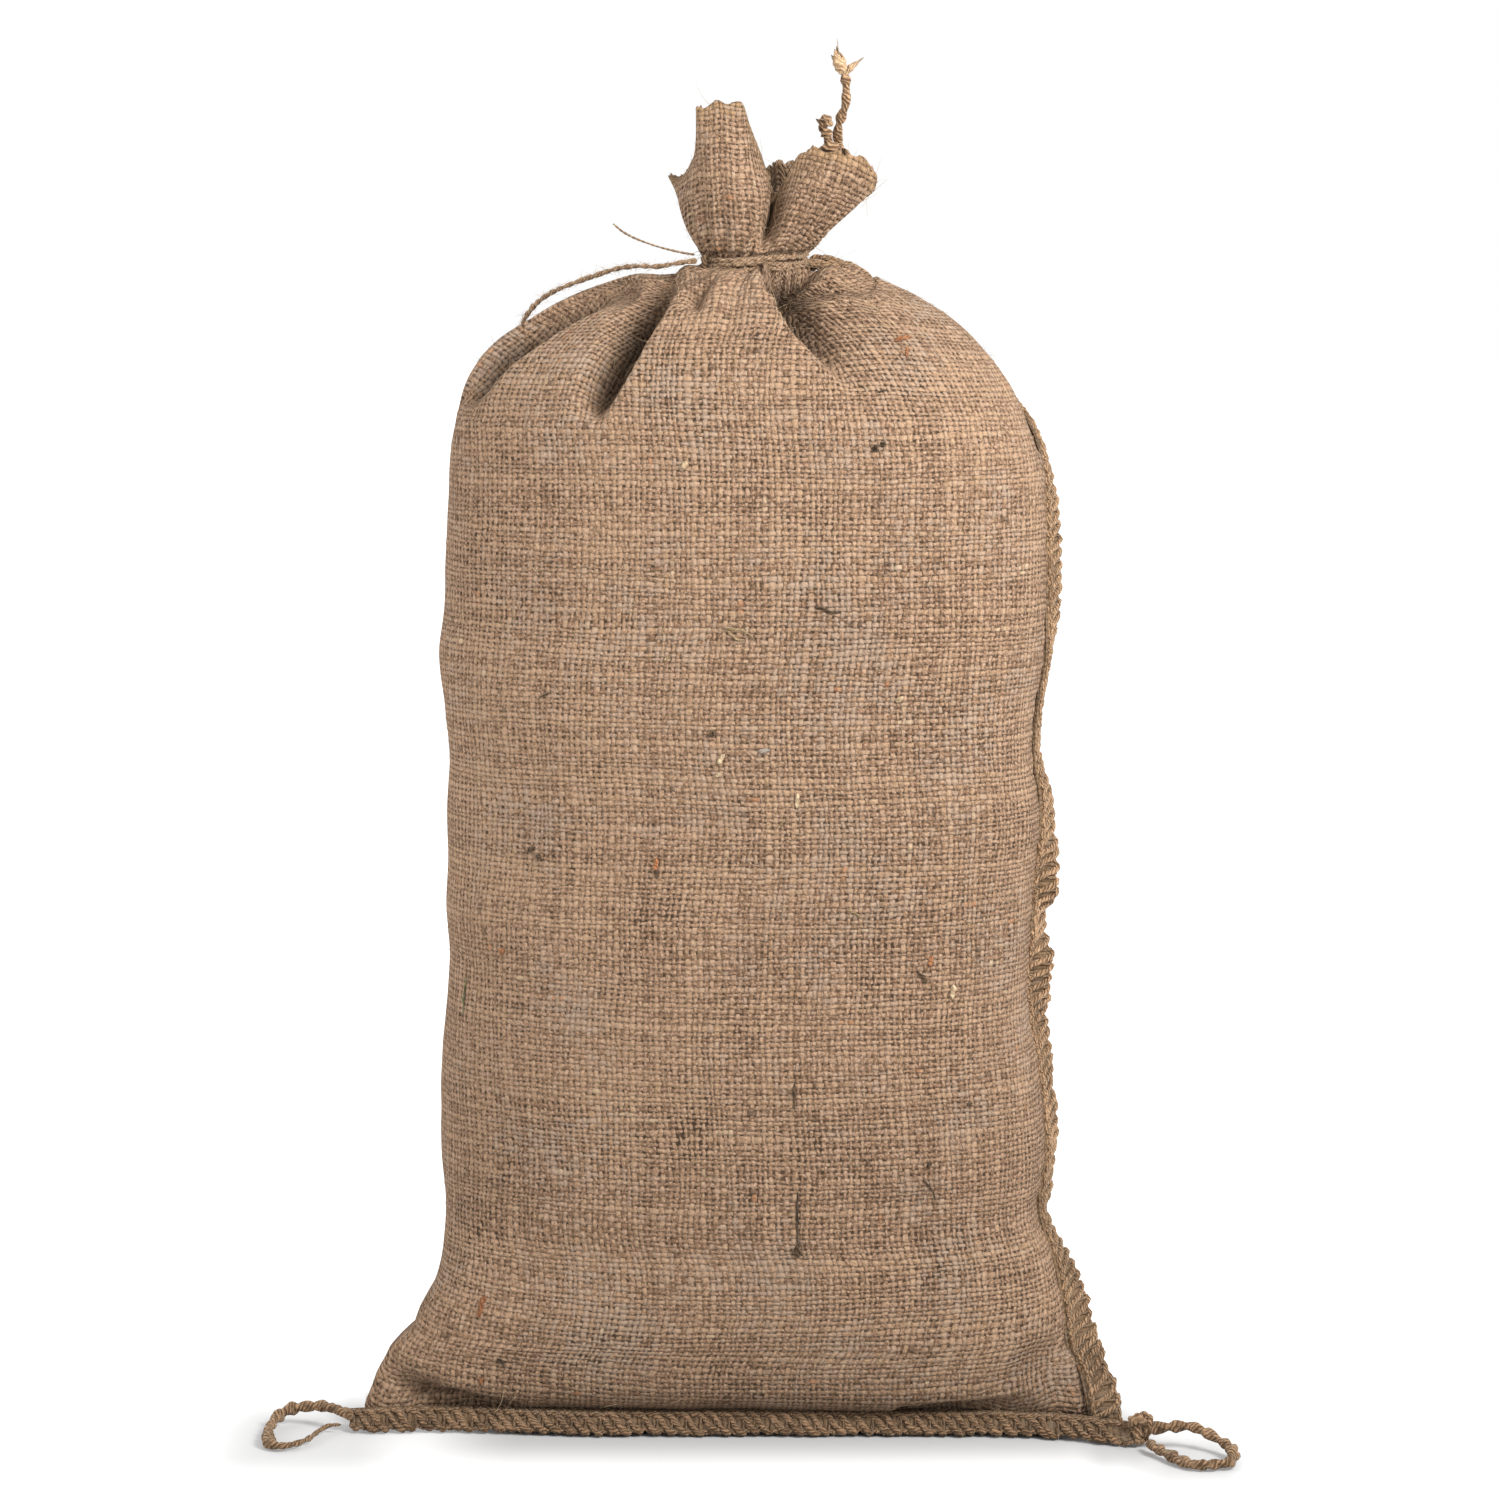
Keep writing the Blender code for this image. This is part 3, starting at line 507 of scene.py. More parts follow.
def trough(grid, fold):
    """How deep one fold takes each point of the grid. Beside its crisp edge the cloth rolls up a little."""
    line = np.array(fold["line"], float)
    flat = grid[..., [0, 2]]
    runs = run_along(line)
    nearest = np.full(flat.shape[:-1], np.inf)
    to_left = np.zeros(flat.shape[:-1], bool)
    share = np.zeros(flat.shape[:-1])
    for start, end, run in zip(line, line[1:], runs):
        step = end - start
        length = np.linalg.norm(step)
        t = np.clip(((flat - start) @ step) / length**2, 0.0, 1.0)
        away = flat - (start + t[..., None] * step)
        distance = np.linalg.norm(away, axis=-1)
        closer = distance < nearest
        nearest = np.where(closer, distance, nearest)
        to_left = np.where(closer, step[0] * away[..., 1] < step[1] * away[..., 0], to_left)
        share = np.where(closer, (run + t * length) / runs[-1], share)
    width = np.where(to_left, fold["left"], fold["right"])
    grown = np.minimum(1.0, share / FOLD_GROWS)
    strength = (fold["start"] + (1.0 - fold["start"]) * grown) * (1.0 - share ** fold["fade"])
    depth = fold["depth"] * strength * np.exp(-((nearest / width) ** 2))
    beside = (nearest - ROLL_PLACE * width) / (ROLL_WIDTH * width)
    roll = FOLD_ROLL * fold["depth"] * strength * np.exp(-(beside**2))
    this_side = np.clip((grid[..., 1] * fold["side"] - fold["inset"]) / FOLD_EDGE, 0.0, 1.0)
    return (depth - roll) * this_side


def ripple(angles, turns, wander, seed):
    """An uneven wave round the sack, between -1 and 1."""
    warp, swell = rough_round(angles, wander, seed), rough_round(angles, 2.0, seed + 5.0)
    return np.sin(turns * angles + 5.0 * warp) * (0.75 + 0.9 * swell)


def sack_depths(grid, places, angles):
    """How far each point of the cloth lies inside its plain form, and how much of that the big folds make."""
    depths = np.zeros(grid.shape[:2])
    below_tie = (places < BODY_RUN - FOLDS_STOP)[:, None]
    for fold in named(FOLD, FOLDS):
        found = trough(grid, fold) * below_tie
        depths = np.where(found > 0.0, np.maximum(depths, found), depths + found)
    pleats = depths.copy()
    from_neck = np.linalg.norm(grid[..., :2] - NECK_MIDDLE, axis=-1)
    shoulder = np.clip((GATHER_REACH - from_neck) / GATHER_GROWS, 0.0, 1.0) * (grid[..., 2] > GATHER_ABOVE)
    up_mouth = np.clip((places - BODY_RUN) / MOUTH_RUN, 0.0, 1.0)[:, None]
    in_mouth = (1.0 - up_mouth) ** 1.3 * MOUTH_GATHER
    gather = np.where(up_mouth > 0.0, in_mouth, SHOULDER_GATHER * shoulder**1.4)
    depths = depths + gather * (GATHER_MEAN + ripple(angles, GATHER_COUNT, 1.6, 3.7))
    tied = np.exp(-(((places - BODY_RUN + 1.0) / TIE_BITE_WIDTH) ** 2))[:, None]
    depths = depths + tied * TIE_BITE
    belly = 1.0 - np.clip((grid[..., 2] - BELLY_TOP) / BELLY_FADE, 0.0, 1.0)
    for dent in named(DENT, DENTS):
        shift = Vector((1.0, 1.0, 1.0)) * dent["seed"]
        rough = [noise.noise(Vector(point) / dent["wave"] + shift) for point in grid.reshape(-1, 3)]
        depths = depths + dent["height"] * np.array(rough).reshape(depths.shape) * (0.35 + 0.65 * belly)
    beside_seam = np.exp(-(((np.degrees(angles) - 180.0) / PUCKER_WIDTH) ** 2)) * belly
    beside_seam = beside_seam * (grid[..., 2] < PUCKER_BELOW)
    pull = np.cos(TURN * grid[..., 2] / STITCH["pitch"] / 2.0)
    return depths - beside_seam * (PUCKER_HEIGHT + PUCKER_PULL * pull), pleats


def sack_grid(angles):
    """The outside of the finished cloth, the places of its rows, and the depth of its folds."""
    places = cloth_places()
    bare = bare_cloth(places, angles)
    ragged = rough_round(angles, 9.0, 2.0)
    near_edge = np.clip((places - BODY_RUN) / MOUTH_RUN * 6.0 - 5.0, 0.0, 1.0)
    bare[..., 2] += near_edge[:, None] * ragged * RAGGED
    depths, pleats = sack_depths(bare, places, angles)
    grid = bare - outward(bare) * depths[..., None]
    grid[..., 2] = np.maximum(grid[..., 2], 0.0)
    return grid, places, pleats


def rolled(name, tubes, texture):
    """A closed mesh of tubes, each given as rings of points: Blender's flat grid, bent, sewn and capped.

    texture gives the four texture values of corners, from the row and column of each corner and of its
    face."""
    count, rings, sides = tubes.shape[:3]
    bm = bmesh.new()
    bmesh.ops.create_grid(bm, x_segments=sides, y_segments=count * rings - 1, size=1.0)
    mesh = bpy.data.meshes.new(name)
    bm.to_mesh(mesh)
    flat = tubes.reshape(-1, sides, 3)
    flat = np.concatenate([flat, flat[:, :1]], axis=1) * MM
    mesh.vertices.foreach_set("co", flat.astype(np.float32).ravel())
    corners = np.empty(len(mesh.loops), np.int32)
    mesh.loops.foreach_get("vertex_index", corners)
    faces = np.arange(len(corners)) // 4
    values = texture(corners // (sides + 1), corners % (sides + 1), faces // sides, faces % sides)
    for layer, pair in (("cloth", values[:, :2]), ("marks", values[:, 2:])):
        mesh.uv_layers.new(name=layer).data.foreach_set("uv", pair.astype(np.float32).ravel())
    bm.clear()
    bm.from_mesh(mesh)
    bm.verts.ensure_lookup_table()
    bm.faces.ensure_lookup_table()
    sewn = [
        v
        for v in bm.verts
        if v.index % (sides + 1) in (0, sides) or v.index // (sides + 1) % rings in (0, rings - 1)
    ]
    between = [f for f in bm.faces if (f.index // sides + 1) % rings == 0]
    bmesh.ops.delete(bm, geom=between, context="FACES_ONLY")
    loose = [e for e in bm.edges if not e.link_faces]
    bmesh.ops.delete(bm, geom=loose, context="EDGES")
    bmesh.ops.remove_doubles(bm, verts=[v for v in sewn if v.is_valid], dist=1e-7)
    bmesh.ops.holes_fill(bm, edges=[e for e in bm.edges if e.is_boundary], sides=0)
    bmesh.ops.recalc_face_normals(bm, faces=bm.faces)
    bm.to_mesh(mesh)
    bm.free()
    mesh.shade_smooth()
    return mesh


def add_piece(name, mesh, slot, finish, *nodes):
    """An object on the sack's one body, which stands for these nodes of the model."""
    made = link_to_scene(bpy.data.objects.new(name, mesh))
    mesh.materials.append(finish)
    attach(made, "root")
    if nodes:
        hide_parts(*nodes)
    return made


def lobes_of(grid):
    """The lobe that each point of the body lies in, counted along FRONT_LOBES and then BACK_LOBES."""
    x, z = grid[..., 0], grid[..., 2]
    found = []
    for side in (FRONT, BACK):
        parting = [fold for fold in named(FOLD, FOLDS) if fold["side"] == side and fold["parts_lobes"]]
        lines = [np.array(fold["line"], float)[::-1] for fold in parting]
        found.append(sum(x > np.interp(z, line[:, 1], line[:, 0]) for line in lines))
    on_back = cloth_angles > math.pi
    return np.where(on_back, len(FRONT_LOBES) + found[1], found[0])


def cloth_texture(grid, folds, first_mouth_row, rim_row):
    """Texture values for the sack: the cloth's width and length in metres, then its selvedge and the painted
    shade of its folds and mouth.
    """
    closed = np.concatenate([grid, grid[:, :1]], axis=1)
    across = np.cumsum(np.linalg.norm(np.diff(closed, axis=1), axis=-1), axis=1)
    across = np.concatenate([np.zeros((len(grid), 1)), across], axis=1)
    up = np.cumsum(np.linalg.norm(np.diff(closed, axis=0), axis=-1), axis=0)
    up = np.concatenate([np.zeros((1, closed.shape[1])), up])
    level_row = int(np.argmax(grid[:, COLUMNS // 4, 2] > LEVEL_YARN))
    up = up - up[level_row] + LEVEL_YARN
    degrees = np.degrees(cloth_angles)
    start_row = int(np.argmax(grid[:, COLUMNS // 4, 2] > LOBES_START))
    middle, all_round = across[:, [COLUMNS // 4]], across[:, -1:]
    front, back = (across[:, np.searchsorted(degrees, refs)] for refs in (FRONT_LOBES, BACK_LOBES))
    shift = np.concatenate([front * 0.0 + middle, back * 0.0 + middle + all_round], axis=1)
    above = np.concatenate([front, back], axis=1)
    shift[start_row:] = above[start_row:] - above[start_row] + shift[start_row]
    ear = np.searchsorted(degrees, [ref for _, ref in EARS])
    shift = np.concatenate([shift, across[:, ear] - across[first_mouth_row, ear]], axis=1)
    lobes = lobes_of(grid)
    ear = np.searchsorted([start for start, _ in EARS], np.degrees(cloth_angles), side="right") - 1
    lobes[first_mouth_row:] = len(FRONT_LOBES) + len(BACK_LOBES) + ear
    up[first_mouth_row:] = up[first_mouth_row:] - up[first_mouth_row]
    to_rim = np.abs(up - up[rim_row])

    def texture(row, column, face_row, face_column):
        lobe = lobes[np.minimum(face_row, len(lobes) - 1), np.minimum(face_column, COLUMNS - 1)]
        width = across[row, column] - shift[row, lobe]
        selvedge = np.clip(1.0 - to_rim[row, column] / SELVEDGE, 0.0, 1.0) * (row >= first_mouth_row)
        painted_fold_shade = np.clip(folds[row, column % COLUMNS] / DARKEST_FOLD, 0.0, 1.0)
        return np.stack([width * MM, up[row, column] * MM, selvedge, painted_fold_shade], axis=1)

    return texture


def vector(x, y, z):
    return x.node("ShaderNodeCombineXYZ", {0: x, 1: y, 2: z})


def noise_at(place, scale, detail):
    """Cloudy values about 0.5 over places."""
    return place.node("ShaderNodeTexNoise", {"Vector": place, "Scale": scale, "Detail": detail})


def texture_noise(across, up, seed, detail=1.0):
    """Cloudy values about 0, between about -0.5 and 0.5, over two wires."""
    return noise_at(vector(across, up, seed), 1.0, detail) - 0.5


def chance_at(place):
    """A random value, the same all over each place."""
    return place.node("ShaderNodeTexWhiteNoise", {"Vector": place})


def yarn_random(index, seed):
    return index.node("ShaderNodeTexWhiteNoise", {"W": index + seed}, noise_dimensions="1D")


def either(choice, no, yes):
    return choice.node("ShaderNodeMix", {0: choice, 2: no, 3: yes})


def scaled(colour, share):
    return colour.node("ShaderNodeVectorMath", {0: colour, "Scale": share}, operation="SCALE")


def mixed(share, first, second):
    return share.node("ShaderNodeMix", {0: share, 6: first, 7: second}, output=2, data_type="RGBA")


def ramp(wire, low, high, to_low=0.0, to_high=1.0):
    values = {0: wire, 1: low, 2: high, 3: to_low, 4: to_high}
    return wire.node("ShaderNodeMapRange", values, interpolation_type="SMOOTHSTEP")


def burlap_finish(name, closeness, warmth, brightness):
    """Plain-woven jute: round, uneven yarns that pass over and under each other, with dark gaps between them.

    closeness widens every yarn, warmth shifts the colour towards the golden selvedge, and brightness scales
    it: where it is below 1, that is painted shade."""
    made, shader, start = finish_of(name, {"Roughness": 0.95, **CLOTH_SHEEN})
    cloth = start.node("ShaderNodeUVMap", {}, uv_map="cloth")
    wide = cloth.part(0) * (1.0 / (YARN_ACROSS * MM))
    long = cloth.part(1) * (1.0 / (YARN_UP * MM))
    marks = start.node("ShaderNodeUVMap", {}, uv_map="marks")
    selvedge, fold_depth = marks.part(0), marks.part(1)

    # Yarns wander a little, and stand closer together in some places than in others.
    across = wide + texture_noise(wide * 0.17, long * 0.030, 1.0) * WANDER
    across = across + texture_noise(wide * 0.8, long * 0.22, 2.0) * SHORT_WANDER
    up = long + texture_noise(wide * 0.026, long * 0.17, 3.0) * WANDER
    up = up + texture_noise(wide * 0.22, long * 0.8, 4.0) * SHORT_WANDER
    upright, level = across.maths("FLOOR", across), up.maths("FLOOR", up)
    from_upright = across - upright - 0.5 + texture_noise(upright * 5.3, long * 0.55, 12.0) * SWAY
    from_level = up - level - 0.5 + texture_noise(wide * 0.55, level * 5.3, 13.0) * SWAY
    upright_random, level_random = yarn_random(upright, 11.3), yarn_random(level, 57.7)

    # Each yarn's thickness: its own, with thick slubs and thin stretches along it.
    open_patch = texture_noise(wide * 0.06, long * 0.05, 5.0)
    base = selvedge * 0.08 + open_patch * 0.10 + closeness
    upright_slub = texture_noise(upright * 7.7, long * 0.30, 6.0, 2.0)
    level_slub = texture_noise(wide * 0.26, level * 7.7, 7.0, 2.0)
    upright_half = base + UPRIGHT_HALF + upright_random * 0.06 + upright_slub * SLUBS
    level_half = base + LEVEL_HALF + level_random * 0.07 + level_slub * SLUBS

    def round_yarn(offset, half):
        near = offset / half
        return near.maths("SQRT", near.maths("MAXIMUM", 1.0 - near * near, 0.0))

    def parity(index):
        return 1.0 - index.maths("FLOORED_MODULO", index, 2.0) * 2.0

    upright_round = round_yarn(from_upright, upright_half)
    level_round = round_yarn(from_level, level_half)
    over = up.maths("COSINE", (up - 0.5) * math.pi) * parity(upright)
    under = across.maths("COSINE", (across - 0.5) * math.pi) * parity(level)
    upright_height = upright_round * YARN_ROUND + over * YARN_RISE - (upright_round < 0.05) * NO_YARN
    level_height = level_round * YARN_ROUND - under * YARN_RISE - (level_round < 0.05) * NO_YARN
    upright_on_top = upright_height > level_height
    height = up.maths("MAXIMUM", upright_height.maths("MAXIMUM", upright_height, level_height), -0.9)

    # Fibres twist round each yarn and give it a fine slanting grain.
    upright_grain = texture_noise(across * 4.0 + up * 1.6, up * 1.5, 8.0, 3.0)
    level_grain = texture_noise(across * 1.5, up * 4.0 + across * 1.6, 9.0, 3.0)
    pick = either(upright_on_top, level_grain, upright_grain)
    own = either(upright_on_top, level_random + level_slub, upright_random + upright_slub)

    # Colour: each yarn's own tone, clouds over the cloth, the grain, painted light on each round crown, and
    # painted shade down between the yarns. A few short lengths of yarn are bleached, rusty or dark.
    place = place_of(start)
    clouds = noise_at(place, 14.0, 4.0) - 0.5
    float_tone = chance_at(vector(upright, level, 2.0)) - 0.5
    fuzz = noise_at(place, 1050.0, 3.0) - 0.5
    tone = own * 0.44 + pick * 1.7 + fuzz * 2.9 + float_tone * 0.36 + clouds * 0.55 + 0.28
    colour = mixed(ramp(tone, 0.0, 0.5), JUTE_DARK, JUTE_MIDDLE)
    colour = mixed(ramp(tone, 0.45, 1.05), colour, JUTE_LIGHT)
    golden = start.maths("ADD", selvedge * 0.5, warmth + clouds * 0.3 + own * 0.32 - 0.12, clamp=True)
    colour = mixed(golden, colour, JUTE_GOLD)
    weathered = noise_at(place, 23.0, 3.0)
    colour = mixed(ramp(weathered + float_tone * 0.3, 0.50, 0.78, 0.0, WEATHERED), colour, JUTE_GREY)
    stretch = either(upright_on_top, start.maths("FLOOR", wide * STRAY_LENGTH), upright)
    length = either(upright_on_top, level, start.maths("FLOOR", long * STRAY_LENGTH))
    chance = chance_at(vector(stretch, length, upright_on_top))
    colour = mixed((chance > 0.9984) * BLEACHED, colour, JUTE_PALE)
    colour = mixed((chance < 0.0014) * RUSTY, colour, JUTE_RUST)
    colour = mixed((chance > 0.45) * (chance < 0.4525) * DARK, colour, GAP_COLOUR)
    crown = ramp(height + fuzz * 1.1, *CROWN_RANGE, *(light * brightness for light in CROWN_LIGHT))
    colour = scaled(colour, crown)
    filled = chance_at(vector(across.maths("ROUND", across), up.maths("ROUND", up), 7.0))
    closed = filled * 1.2 + open_patch * 2.6 - 0.1
    gap = ramp(height + fuzz * 1.1 + closed, *GAP_RANGE) * ramp(filled, 0.0, 1.0, 1.0, GAP_FILLED)
    colour = mixed(gap, colour, GAP_COLOUR)
    # Painted shade: the cloth is painted darker towards the floor, and darker in its folds and inside the
    # mouth.
    above_floor = place.part(2)
    painted_low_shade = ramp(above_floor, 0.03, 0.30, LOW_SHADE, 1.0)
    painted_low_shade = painted_low_shade * ramp(above_floor, 0.005, 0.06, LOWEST_SHADE, 1.0)
    folded = ramp(fold_depth, 0.15, 1.0, 1.0, FOLD_SHADE)
    connect(scaled(colour, painted_low_shade * folded), shader, "Base Color")
    relief = {"Strength": 1.0, "Distance": CLOTH_RELIEF, "Height": height + pick * 0.5}
    connect(start.node("ShaderNodeBump", relief), shader, "Normal")
    return made


def make_sack():
    outside, places, pleats = sack_grid(cloth_angles)
    first_mouth_row = int(np.searchsorted(places, BODY_RUN))
    rim_row = len(outside) - 1
    inside = outside - outward(outside) * MOUTH_WALL
    cup_rows = rim_row - np.linspace(0.0, CUP_DEPTH / MOUTH_STEP, CUP_STEPS)[1:]
    whole = cup_rows.astype(int)
    cup = inside[whole] + (inside[whole + 1] - inside[whole]) * (cup_rows - whole)[:, None, None]
    floor = cup[-1].mean(axis=0)
    sag = np.array((0.0, 0.0, CUP_SAG))
    cup_floor = [floor + (cup[-1] - floor) * share - sag * (1.0 - share) for share in CUP_RINGS]
    under = outside[0].mean(axis=0)
    base = [under + (outside[0] - under) * share for share in BASE_RINGS]
    grid = np.concatenate([base, outside, cup, cup_floor])
    folds = np.zeros(grid.shape[:2])
    folds[len(base) : len(base) + len(outside)] = pleats
    # The inside of the mouth gets painted shade, in the same measure as a deep fold.
    shade = np.linspace(*CUP_SHADE, len(cup) + len(cup_floor))[:, None]
    folds[len(base) + len(outside) :] = DARKEST_FOLD * shade
    texture = cloth_texture(grid, folds, first_mouth_row + len(base), rim_row + len(base))
    mesh = rolled("sack", grid[None], texture)
    sack = add_piece("sack", mesh, "burlap", burlap_finish("sack_hessian", 0.0, 0.0, 1.0), "sack_cloth")
    return outside


sack_outside = make_sack()


# --------------------------------------------------------------------------------------------------
# Side seam. The cloth's two cut edges, laid together as a narrow band and overcast with golden jute thread: a
# stitch slants up across it and comes back behind, and a chain runs along the inner edge. The band swings to
# and fro up the right side, and runs behind the shoulder and under the tie to the mouth.

STATION = ("height", "angle", "swing", "width")
# How far the band swings forwards, by height, where it runs straight up the right side.
SIDE_SWINGS = (
    (24, 30), (32, 10), (40, 25), (50, 45), (60, 62), (76, 80), (88, 68), (101, 73), (114, 62), (126, 66),
    (140, 56), (154, 50), (168, 28), (179, 10), (189, 56), (199, 64), (209, 12), (220, 30), (232, 61),
    (245, 70), (258, 80), (270, 84), (285, 84), (298, 84), (307, 77), (320, 64), (343, 62), (355, 64),
    (367, 73),
)
STATIONS = (
    (5, 180, -35, 11), (11, 180, -10, 11),
    *((height, 180, swing, 10.5) for height, swing in SIDE_SWINGS),
    (382, 184, 80, 9), (392, 189, 80, 9), (404, 195, 80, 8.5), (414, 199, 80, 8.5), (423, 203, 80, 8),
    (431, 206, 80, 7.5), (437, 208, 80, 7), (442, 209, 80, 7),
)
NECK_SECTIONS = 7  # the sections between the last station and the mouth
SEAM_AT_NECK = 210.0
TIED_WIDTH, MOUTH_WIDTH = 5.5, 6.5
TIED_SWING, MOUTH_SWING = 85.0, 62.0
BAND_THICK, TIED_THICK = 2.2, 1.5
BAND_LIFT, BAND_FLAT_LIFT = -0.8, -0.2
SHOULDER_SEAM = 400.0  # the height above which the band is drawn thin
SINKING, SINKING_DEPTHS = (398.0, 404.0, 418.0, 430.0), (0.0, 1.3, 1.6, 2.8)  # it sinks between the gathers
BAND_ROOT = 2.4  # how far in front of the seam line it starts, hidden in the cloth
BAND_STEP, BAND_SIDES = 0.8, 16
THREAD_SHEEN = {"Sheen Weight": 0.2, "Sheen Tint": (1.0, 0.88, 0.68, 1.0)}
THREAD_GOLD = (0.385, 0.238, 0.136, 1.0)
THREAD_DARK = (0.100, 0.054, 0.027, 1.0)
BAND_SUNK = 2.2  # how far the band runs on inside the cloth
STATION_STEP = 2.0  # from row to row of the cloth that the seam's line is read from
# The thinnest reach of a two-ply twine, and how far its plies swell past it, as shares of its radius.
PLY_LEAST, PLY_SWELL = 0.56, 0.48
LUMP_WAVES = (3.1, 9.0)
TWINE_SIDES, THREAD_SIDES, BINDER_SIDES = 12, 8, 6
THREAD_TWIST, CHAIN_TWIST, BINDER_TWIST = 3.4, 3.1, 2.6
STITCH_POINTS, BINDER_POINTS, CHAIN_STEP = 20.0, 7, 0.6
STITCH_JITTER, STITCH_PROUD = 0.55, 0.25
CHAIN_PLACE, CHAIN_SWAY, CHAIN_PROUD = 0.10, 0.035, 0.55  # turns round the band, and how far above it
CHAIN_LUMPS, EDGING_SHARE = 0.22, 0.85
FLAT_TEXTURE = 20.0  # how wide the cloth lies round a band, in its texture


def thread_finish(name, light, dark, lays):
    """Spun jute: fibres wound round the thread, lays of them to a turn, with stray light and dark ones."""
    made, shader, start = finish_of(name, {"Roughness": 0.9, **THREAD_SHEEN})
    laid = start.node("ShaderNodeUVMap", {}, uv_map="cloth")
    around, along = laid.part(0), laid.part(1) * (1.0 / MM)
    wound = around * float(lays) + along * 0.55 + texture_noise(around * 3.0, along * 0.5, 1.0) * 1.6
    strand = wound.maths("SINE", wound * (TURN))
    fine = texture_noise(wound * 3.0, along * 0.35, 2.0, 3.0)
    place = place_of(start)
    clouds = noise_at(place, 90.0, 3.0) - 0.5
    tone = strand * 0.36 + fine * 2.4 + clouds * 1.3 + 0.46
    colour = mixed(ramp(tone, 0.0, 1.0), dark, light)
    # Painted shade: the thread is painted darker towards the floor.
    painted_low_shade = ramp(place.part(2), 0.005, 0.17, 0.72, 1.0)
    connect(scaled(colour, painted_low_shade), shader, "Base Color")
    height = strand * 0.5 + fine
    connect(start.node("ShaderNodeBump", {"Distance": THREAD_RELIEF, "Height": height}), shader, "Normal")
    return made


def tube_texture(run):
    """Texture values for tubes: turns around, and metres along."""

    def texture(row, column, face_row, face_column):
        sides = face_column.max() + 1
        return np.stack([column / sides, run[row % len(run)] * MM, row * 0.0, row * 0.0], axis=1)

    return texture


def add_tubes(name, tubes, run, slot, finish, *nodes):
    """A piece made of tubes, each with as many rings as run has distances along it."""
    return add_piece(name, rolled(name, tubes, tube_texture(run)), slot, finish, *nodes)


def carried(route):
    """Two directions square to a route at each of its points, carried along without twist."""
    ahead = unit(np.gradient(route, axis=0))
    first = np.cross(ahead[0], (0.3, 0.2, 0.93))
    sides = [unit(first)]
    for direction in ahead[1:]:
        sides.append(unit(sides[-1] - direction * (sides[-1] @ direction)))
    sides = np.array(sides)
    return sides, np.cross(ahead, sides)


def plied(route, radius, sides, twist, seed, lumps=0.10):
    """Rings of a two-ply twine along a route, with one turn in each twist, and lumpy as hand-spun jute is."""
    along = run_along(route)
    one, other = carried(route)
    small, large = LUMP_WAVES
    lump = rough_along(along, small, seed, 0.5) + 0.6 * rough_along(along, large, seed, 7.5)
    ends = np.clip(np.minimum(along, along[-1] - along) / radius.max() + 0.35, 0.0, 1.0)
    turn = TURN * along / twist + 0.8 * lump
    around = np.arange(sides) * 2.0 * math.pi / sides
    ply = PLY_LEAST + PLY_SWELL * np.abs(np.cos(around - turn[:, None]))
    reach = (radius * (1.0 + 2.2 * lumps * lump) * ends)[:, None] * ply
    out = one[:, None] * np.cos(around)[:, None] + other[:, None] * np.sin(around)[:, None]
    rings = route[:, None] + out * reach[..., None]
    rings[..., 2] = np.maximum(rings[..., 2], 0.1)
    return rings


def add_twine(name, route, radius, twist, seed, slot, finish, *nodes, lumps=0.10, sides=TWINE_SIDES):
    """A piece that is one length of two-ply twine along a route."""
    rings = plied(route, np.broadcast_to(radius, len(route)), sides, twist, seed, lumps)
    return add_tubes(name, rings[None], run_along(route), slot, finish, *nodes)


def seam_line():
    """The side seam's inner edge, its direction across, its face, width and thickness, at even steps."""
    degrees = np.arange(361.0)
    places = np.arange(0.0, BODY_RUN + MOUTH_RUN + 1.0, STATION_STEP)
    grid = bare_cloth(places, np.radians(degrees))
    normals = outward(grid[:, :-1])
    tangents = unit(np.roll(grid[:, :-1], -1, axis=1) - np.roll(grid[:, :-1], 1, axis=1))
    below = len(section_runs) - NECK_SECTIONS
    stations = named(STATION, STATIONS)
    runs = [float(np.interp(s["height"], section_values[:below, 0], section_runs[:below])) for s in stations]
    for run in [*section_runs[below:], *(BODY_RUN + MOUTH_RUN * np.arange(1, 8) / 7.0)]:
        tied = section_runs[-4] <= run <= BODY_RUN + 1.0
        width, swing = (TIED_WIDTH, TIED_SWING) if tied else (MOUTH_WIDTH, MOUTH_SWING)
        stations.append({"angle": SEAM_AT_NECK, "swing": swing, "width": width, "tied": tied})
        runs.append(float(run))
    rows = []
    for station, run in zip(stations, runs):
        low = min(int(run / STATION_STEP), len(places) - 2)
        share = run / STATION_STEP - low
        column = int(station["angle"])
        point, normal, tangent = (
            data[low, column] * (1.0 - share) + data[low + 1, column] * share
            for data in (grid, normals, tangents)
        )
        swing = math.radians(station["swing"])
        point = point - tangent * BAND_ROOT
        over = normal * math.cos(swing) + tangent * math.sin(swing)
        face = normal * math.sin(swing) - tangent * math.cos(swing)
        hidden = station.get("height", 0.0) > SHOULDER_SEAM
        thick = TIED_THICK if hidden or station.get("tied") else BAND_THICK
        flat = abs(math.sin(swing))
        sunk = float(np.interp(station.get("height", 0.0), SINKING, SINKING_DEPTHS))
        lift = BAND_LIFT * (1.0 - flat) + (thick / 2.0 + BAND_FLAT_LIFT) * flat - sunk
        rows.append(np.concatenate([point + normal * lift, over, face, [station["width"], thick]]))
    return even_band(np.array(rows))


def even_band(rows):
    """A band's rows, smoothed and parted into even steps."""
    along = run_along(rows[:, :3])
    places = np.linspace(0.0, along[-1], int(along[-1] / BAND_STEP) + 1)
    rows = smooth(along, rows, places)
    return {
        "run": run_along(rows[:, :3]),
        "inner": rows[:, :3],
        "over": unit(rows[:, 3:6]),
        "face": unit(rows[:, 6:9]),
        "width": rows[:, 9],
        "thick": rows[:, 10],
    }


